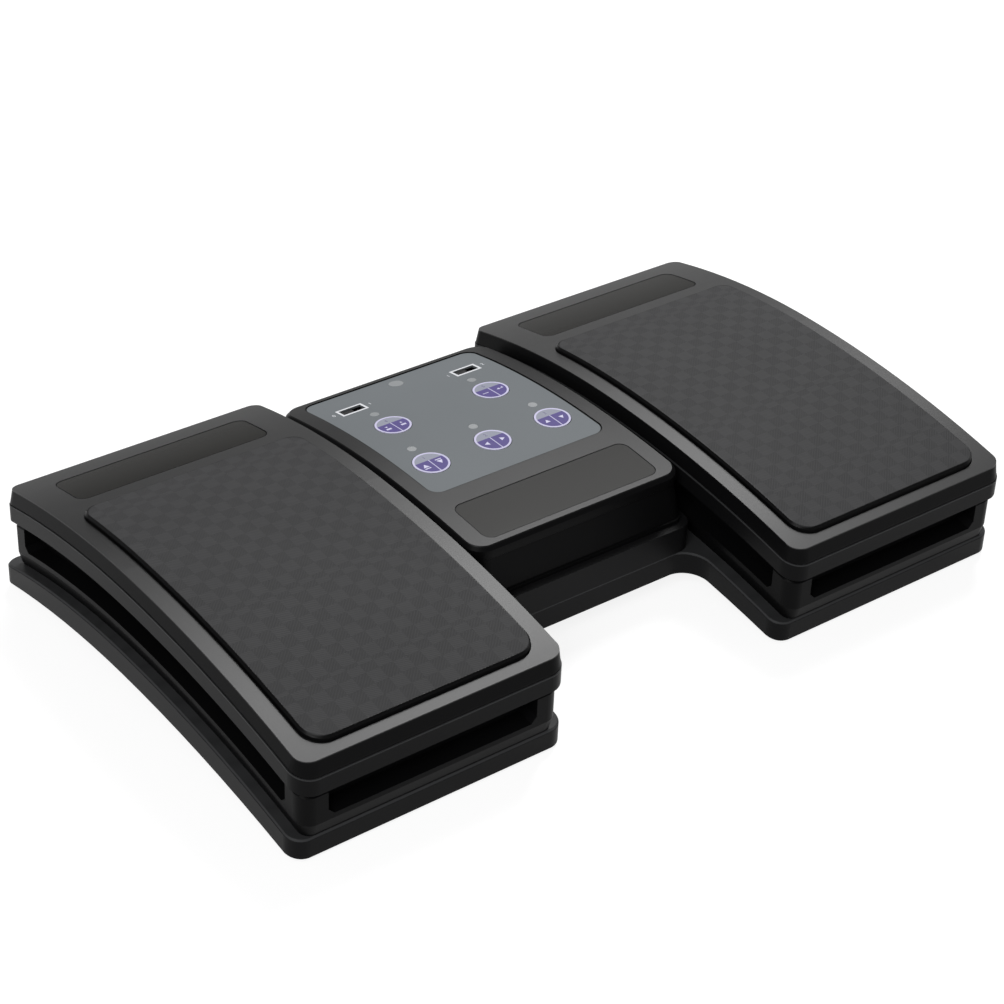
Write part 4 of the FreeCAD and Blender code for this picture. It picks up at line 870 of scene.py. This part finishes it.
def make_window_prints():
    """White frames and position numbers round the two slide switches."""
    marks = bmesh.new()
    for (low, high), numbers in zip(islands("slide_switches"), SWITCH_NUMBERS):
        centre = (low + high) / 2
        add_mark(marks, border(*WINDOW, WINDOW_BORDER), centre.x, centre.y)
        for digits, way in zip(numbers, (-1, 1)):
            add_mark(marks, number(digits, NUMBER_HEIGHT),
                     centre.x + way * WINDOW_NUMBER_REACH * MM, centre.y)
    lay_on(marks, surface("control_panel"))
    make_piece("switch_window_prints", marks, "base", [WHITE_INK], smooth=False)


VIEW_AZIMUTH = math.radians(-38.614)
VIEW_ELEVATION = math.radians(33.145)
VIEW_ROLL = math.radians(2.383)
VIEW_TARGET = Vector((9.156, 16.444, 13.631)) * MM
VIEW_DISTANCE = 860.45 * MM
NEAREST_SEEN = 10 * MM
LENS = 92.56
SENSOR = 36.0


def place_camera():
    """Camera at the photograph's angle."""
    flat = math.cos(VIEW_ELEVATION)
    back = Vector((math.sin(VIEW_AZIMUTH) * flat, -math.cos(VIEW_AZIMUTH) * flat,
                   math.sin(VIEW_ELEVATION)))
    right = Vector((math.cos(VIEW_AZIMUTH), math.sin(VIEW_AZIMUTH), 0))
    up = back.cross(right)
    rolled_right = right * math.cos(VIEW_ROLL) + up * math.sin(VIEW_ROLL)
    rolled_up = up * math.cos(VIEW_ROLL) - right * math.sin(VIEW_ROLL)
    data = bpy.data.cameras.new("camera")
    data.lens = LENS
    data.sensor_width = SENSOR
    data.clip_start = NEAREST_SEEN
    camera = bpy.data.objects.new("camera", data)
    bpy.context.scene.collection.objects.link(camera)
    turn = Matrix((rolled_right, rolled_up, back)).transposed().to_4x4()
    camera.matrix_world = Matrix.Translation(VIEW_TARGET + back * VIEW_DISTANCE) @ turn
    bpy.context.scene.camera = camera


# Name, place, width and height of each lamp, in metres.
LAMPS = (("key_softbox", (0.71, 0.50, 1.29), 0.40, 0.38),
         ("back_softbox", (0.74, 0.72, 1.17), 0.75, 0.80),
         ("front_softbox", (-1.0, -0.7, 1.0), 0.80, 0.80))
LAMP_TARGET = Vector((0, 0, 0.03))
LAMP_POWER = 11
SKY_LEVEL = 0.20


def light_studio():
    for name, place, width, height in LAMPS:
        data = bpy.data.lights.new(name, "AREA")
        data.shape = "RECTANGLE"
        data.size = width
        data.size_y = height
        data.energy = LAMP_POWER
        lamp = bpy.data.objects.new(name, data)
        bpy.context.scene.collection.objects.link(lamp)
        heading = (LAMP_TARGET - Vector(place)).to_track_quat("-Z", "Y")
        lamp.matrix_world = Matrix.Translation(place) @ heading.to_matrix().to_4x4()
    world = bpy.data.worlds.new("studio")
    bpy.context.scene.world = world
    world.use_nodes = True
    sky = world.node_tree.nodes["Background"]
    sky.inputs["Color"].default_value = (1, 1, 1, 1)
    sky.inputs["Strength"].default_value = SKY_LEVEL


def background_ray(tree):
    """1 for the rays that show the background: seen directly, mirrored or through glass."""
    path = tree.nodes.new("ShaderNodeLightPath")
    total = path.outputs["Is Camera Ray"]
    for kind in ("Is Glossy Ray", "Is Transmission Ray"):
        both = tree.nodes.new("ShaderNodeMath")
        both.operation = "MAXIMUM"
        tree.links.new(total, both.inputs[0])
        tree.links.new(path.outputs[kind], both.inputs[1])
        total = both.outputs[0]
    return total


STUDIO_RADIUS = 5.0
STUDIO_WALL = 1.35
STUDIO_SIDES = 64
FLOOR_GREY = (0.26, 0.26, 0.26, 1)
BACKGROUND_LEVEL = 0.86


def lay_floor():
    """Pale studio floor that rises into a low round backdrop, seen as near white."""
    mesh = bmesh.new()
    bmesh.ops.create_circle(mesh, cap_ends=True, segments=STUDIO_SIDES, radius=STUDIO_RADIUS)
    wall = bmesh.ops.extrude_edge_only(mesh, edges=open_edges(mesh))
    bmesh.ops.translate(mesh, verts=new_verts(wall), vec=(0, 0, STUDIO_WALL))
    data = bpy.data.meshes.new("floor")
    mesh.to_mesh(data)
    mesh.free()
    floor = bpy.data.objects.new("floor", data)
    bpy.context.scene.collection.objects.link(floor)
    finish = Finish("pale_floor")
    seen = Value(finish, background_ray(finish.tree))
    finish.set(Base_Color=FLOOR_GREY, Roughness=0.9, Specular_IOR_Level=0.1,
               Emission_Color=(1, 1, 1, 1), Emission_Strength=seen * BACKGROUND_LEVEL)
    data.materials.append(finish.material)


place_camera()
light_studio()
lay_floor()
finish_nodes()
make_feet()
make_base_screws()
make_socket()
make_return_springs()
make_key_prints()
make_window_prints()

bpy.context.scene.view_settings.view_transform = "Standard"
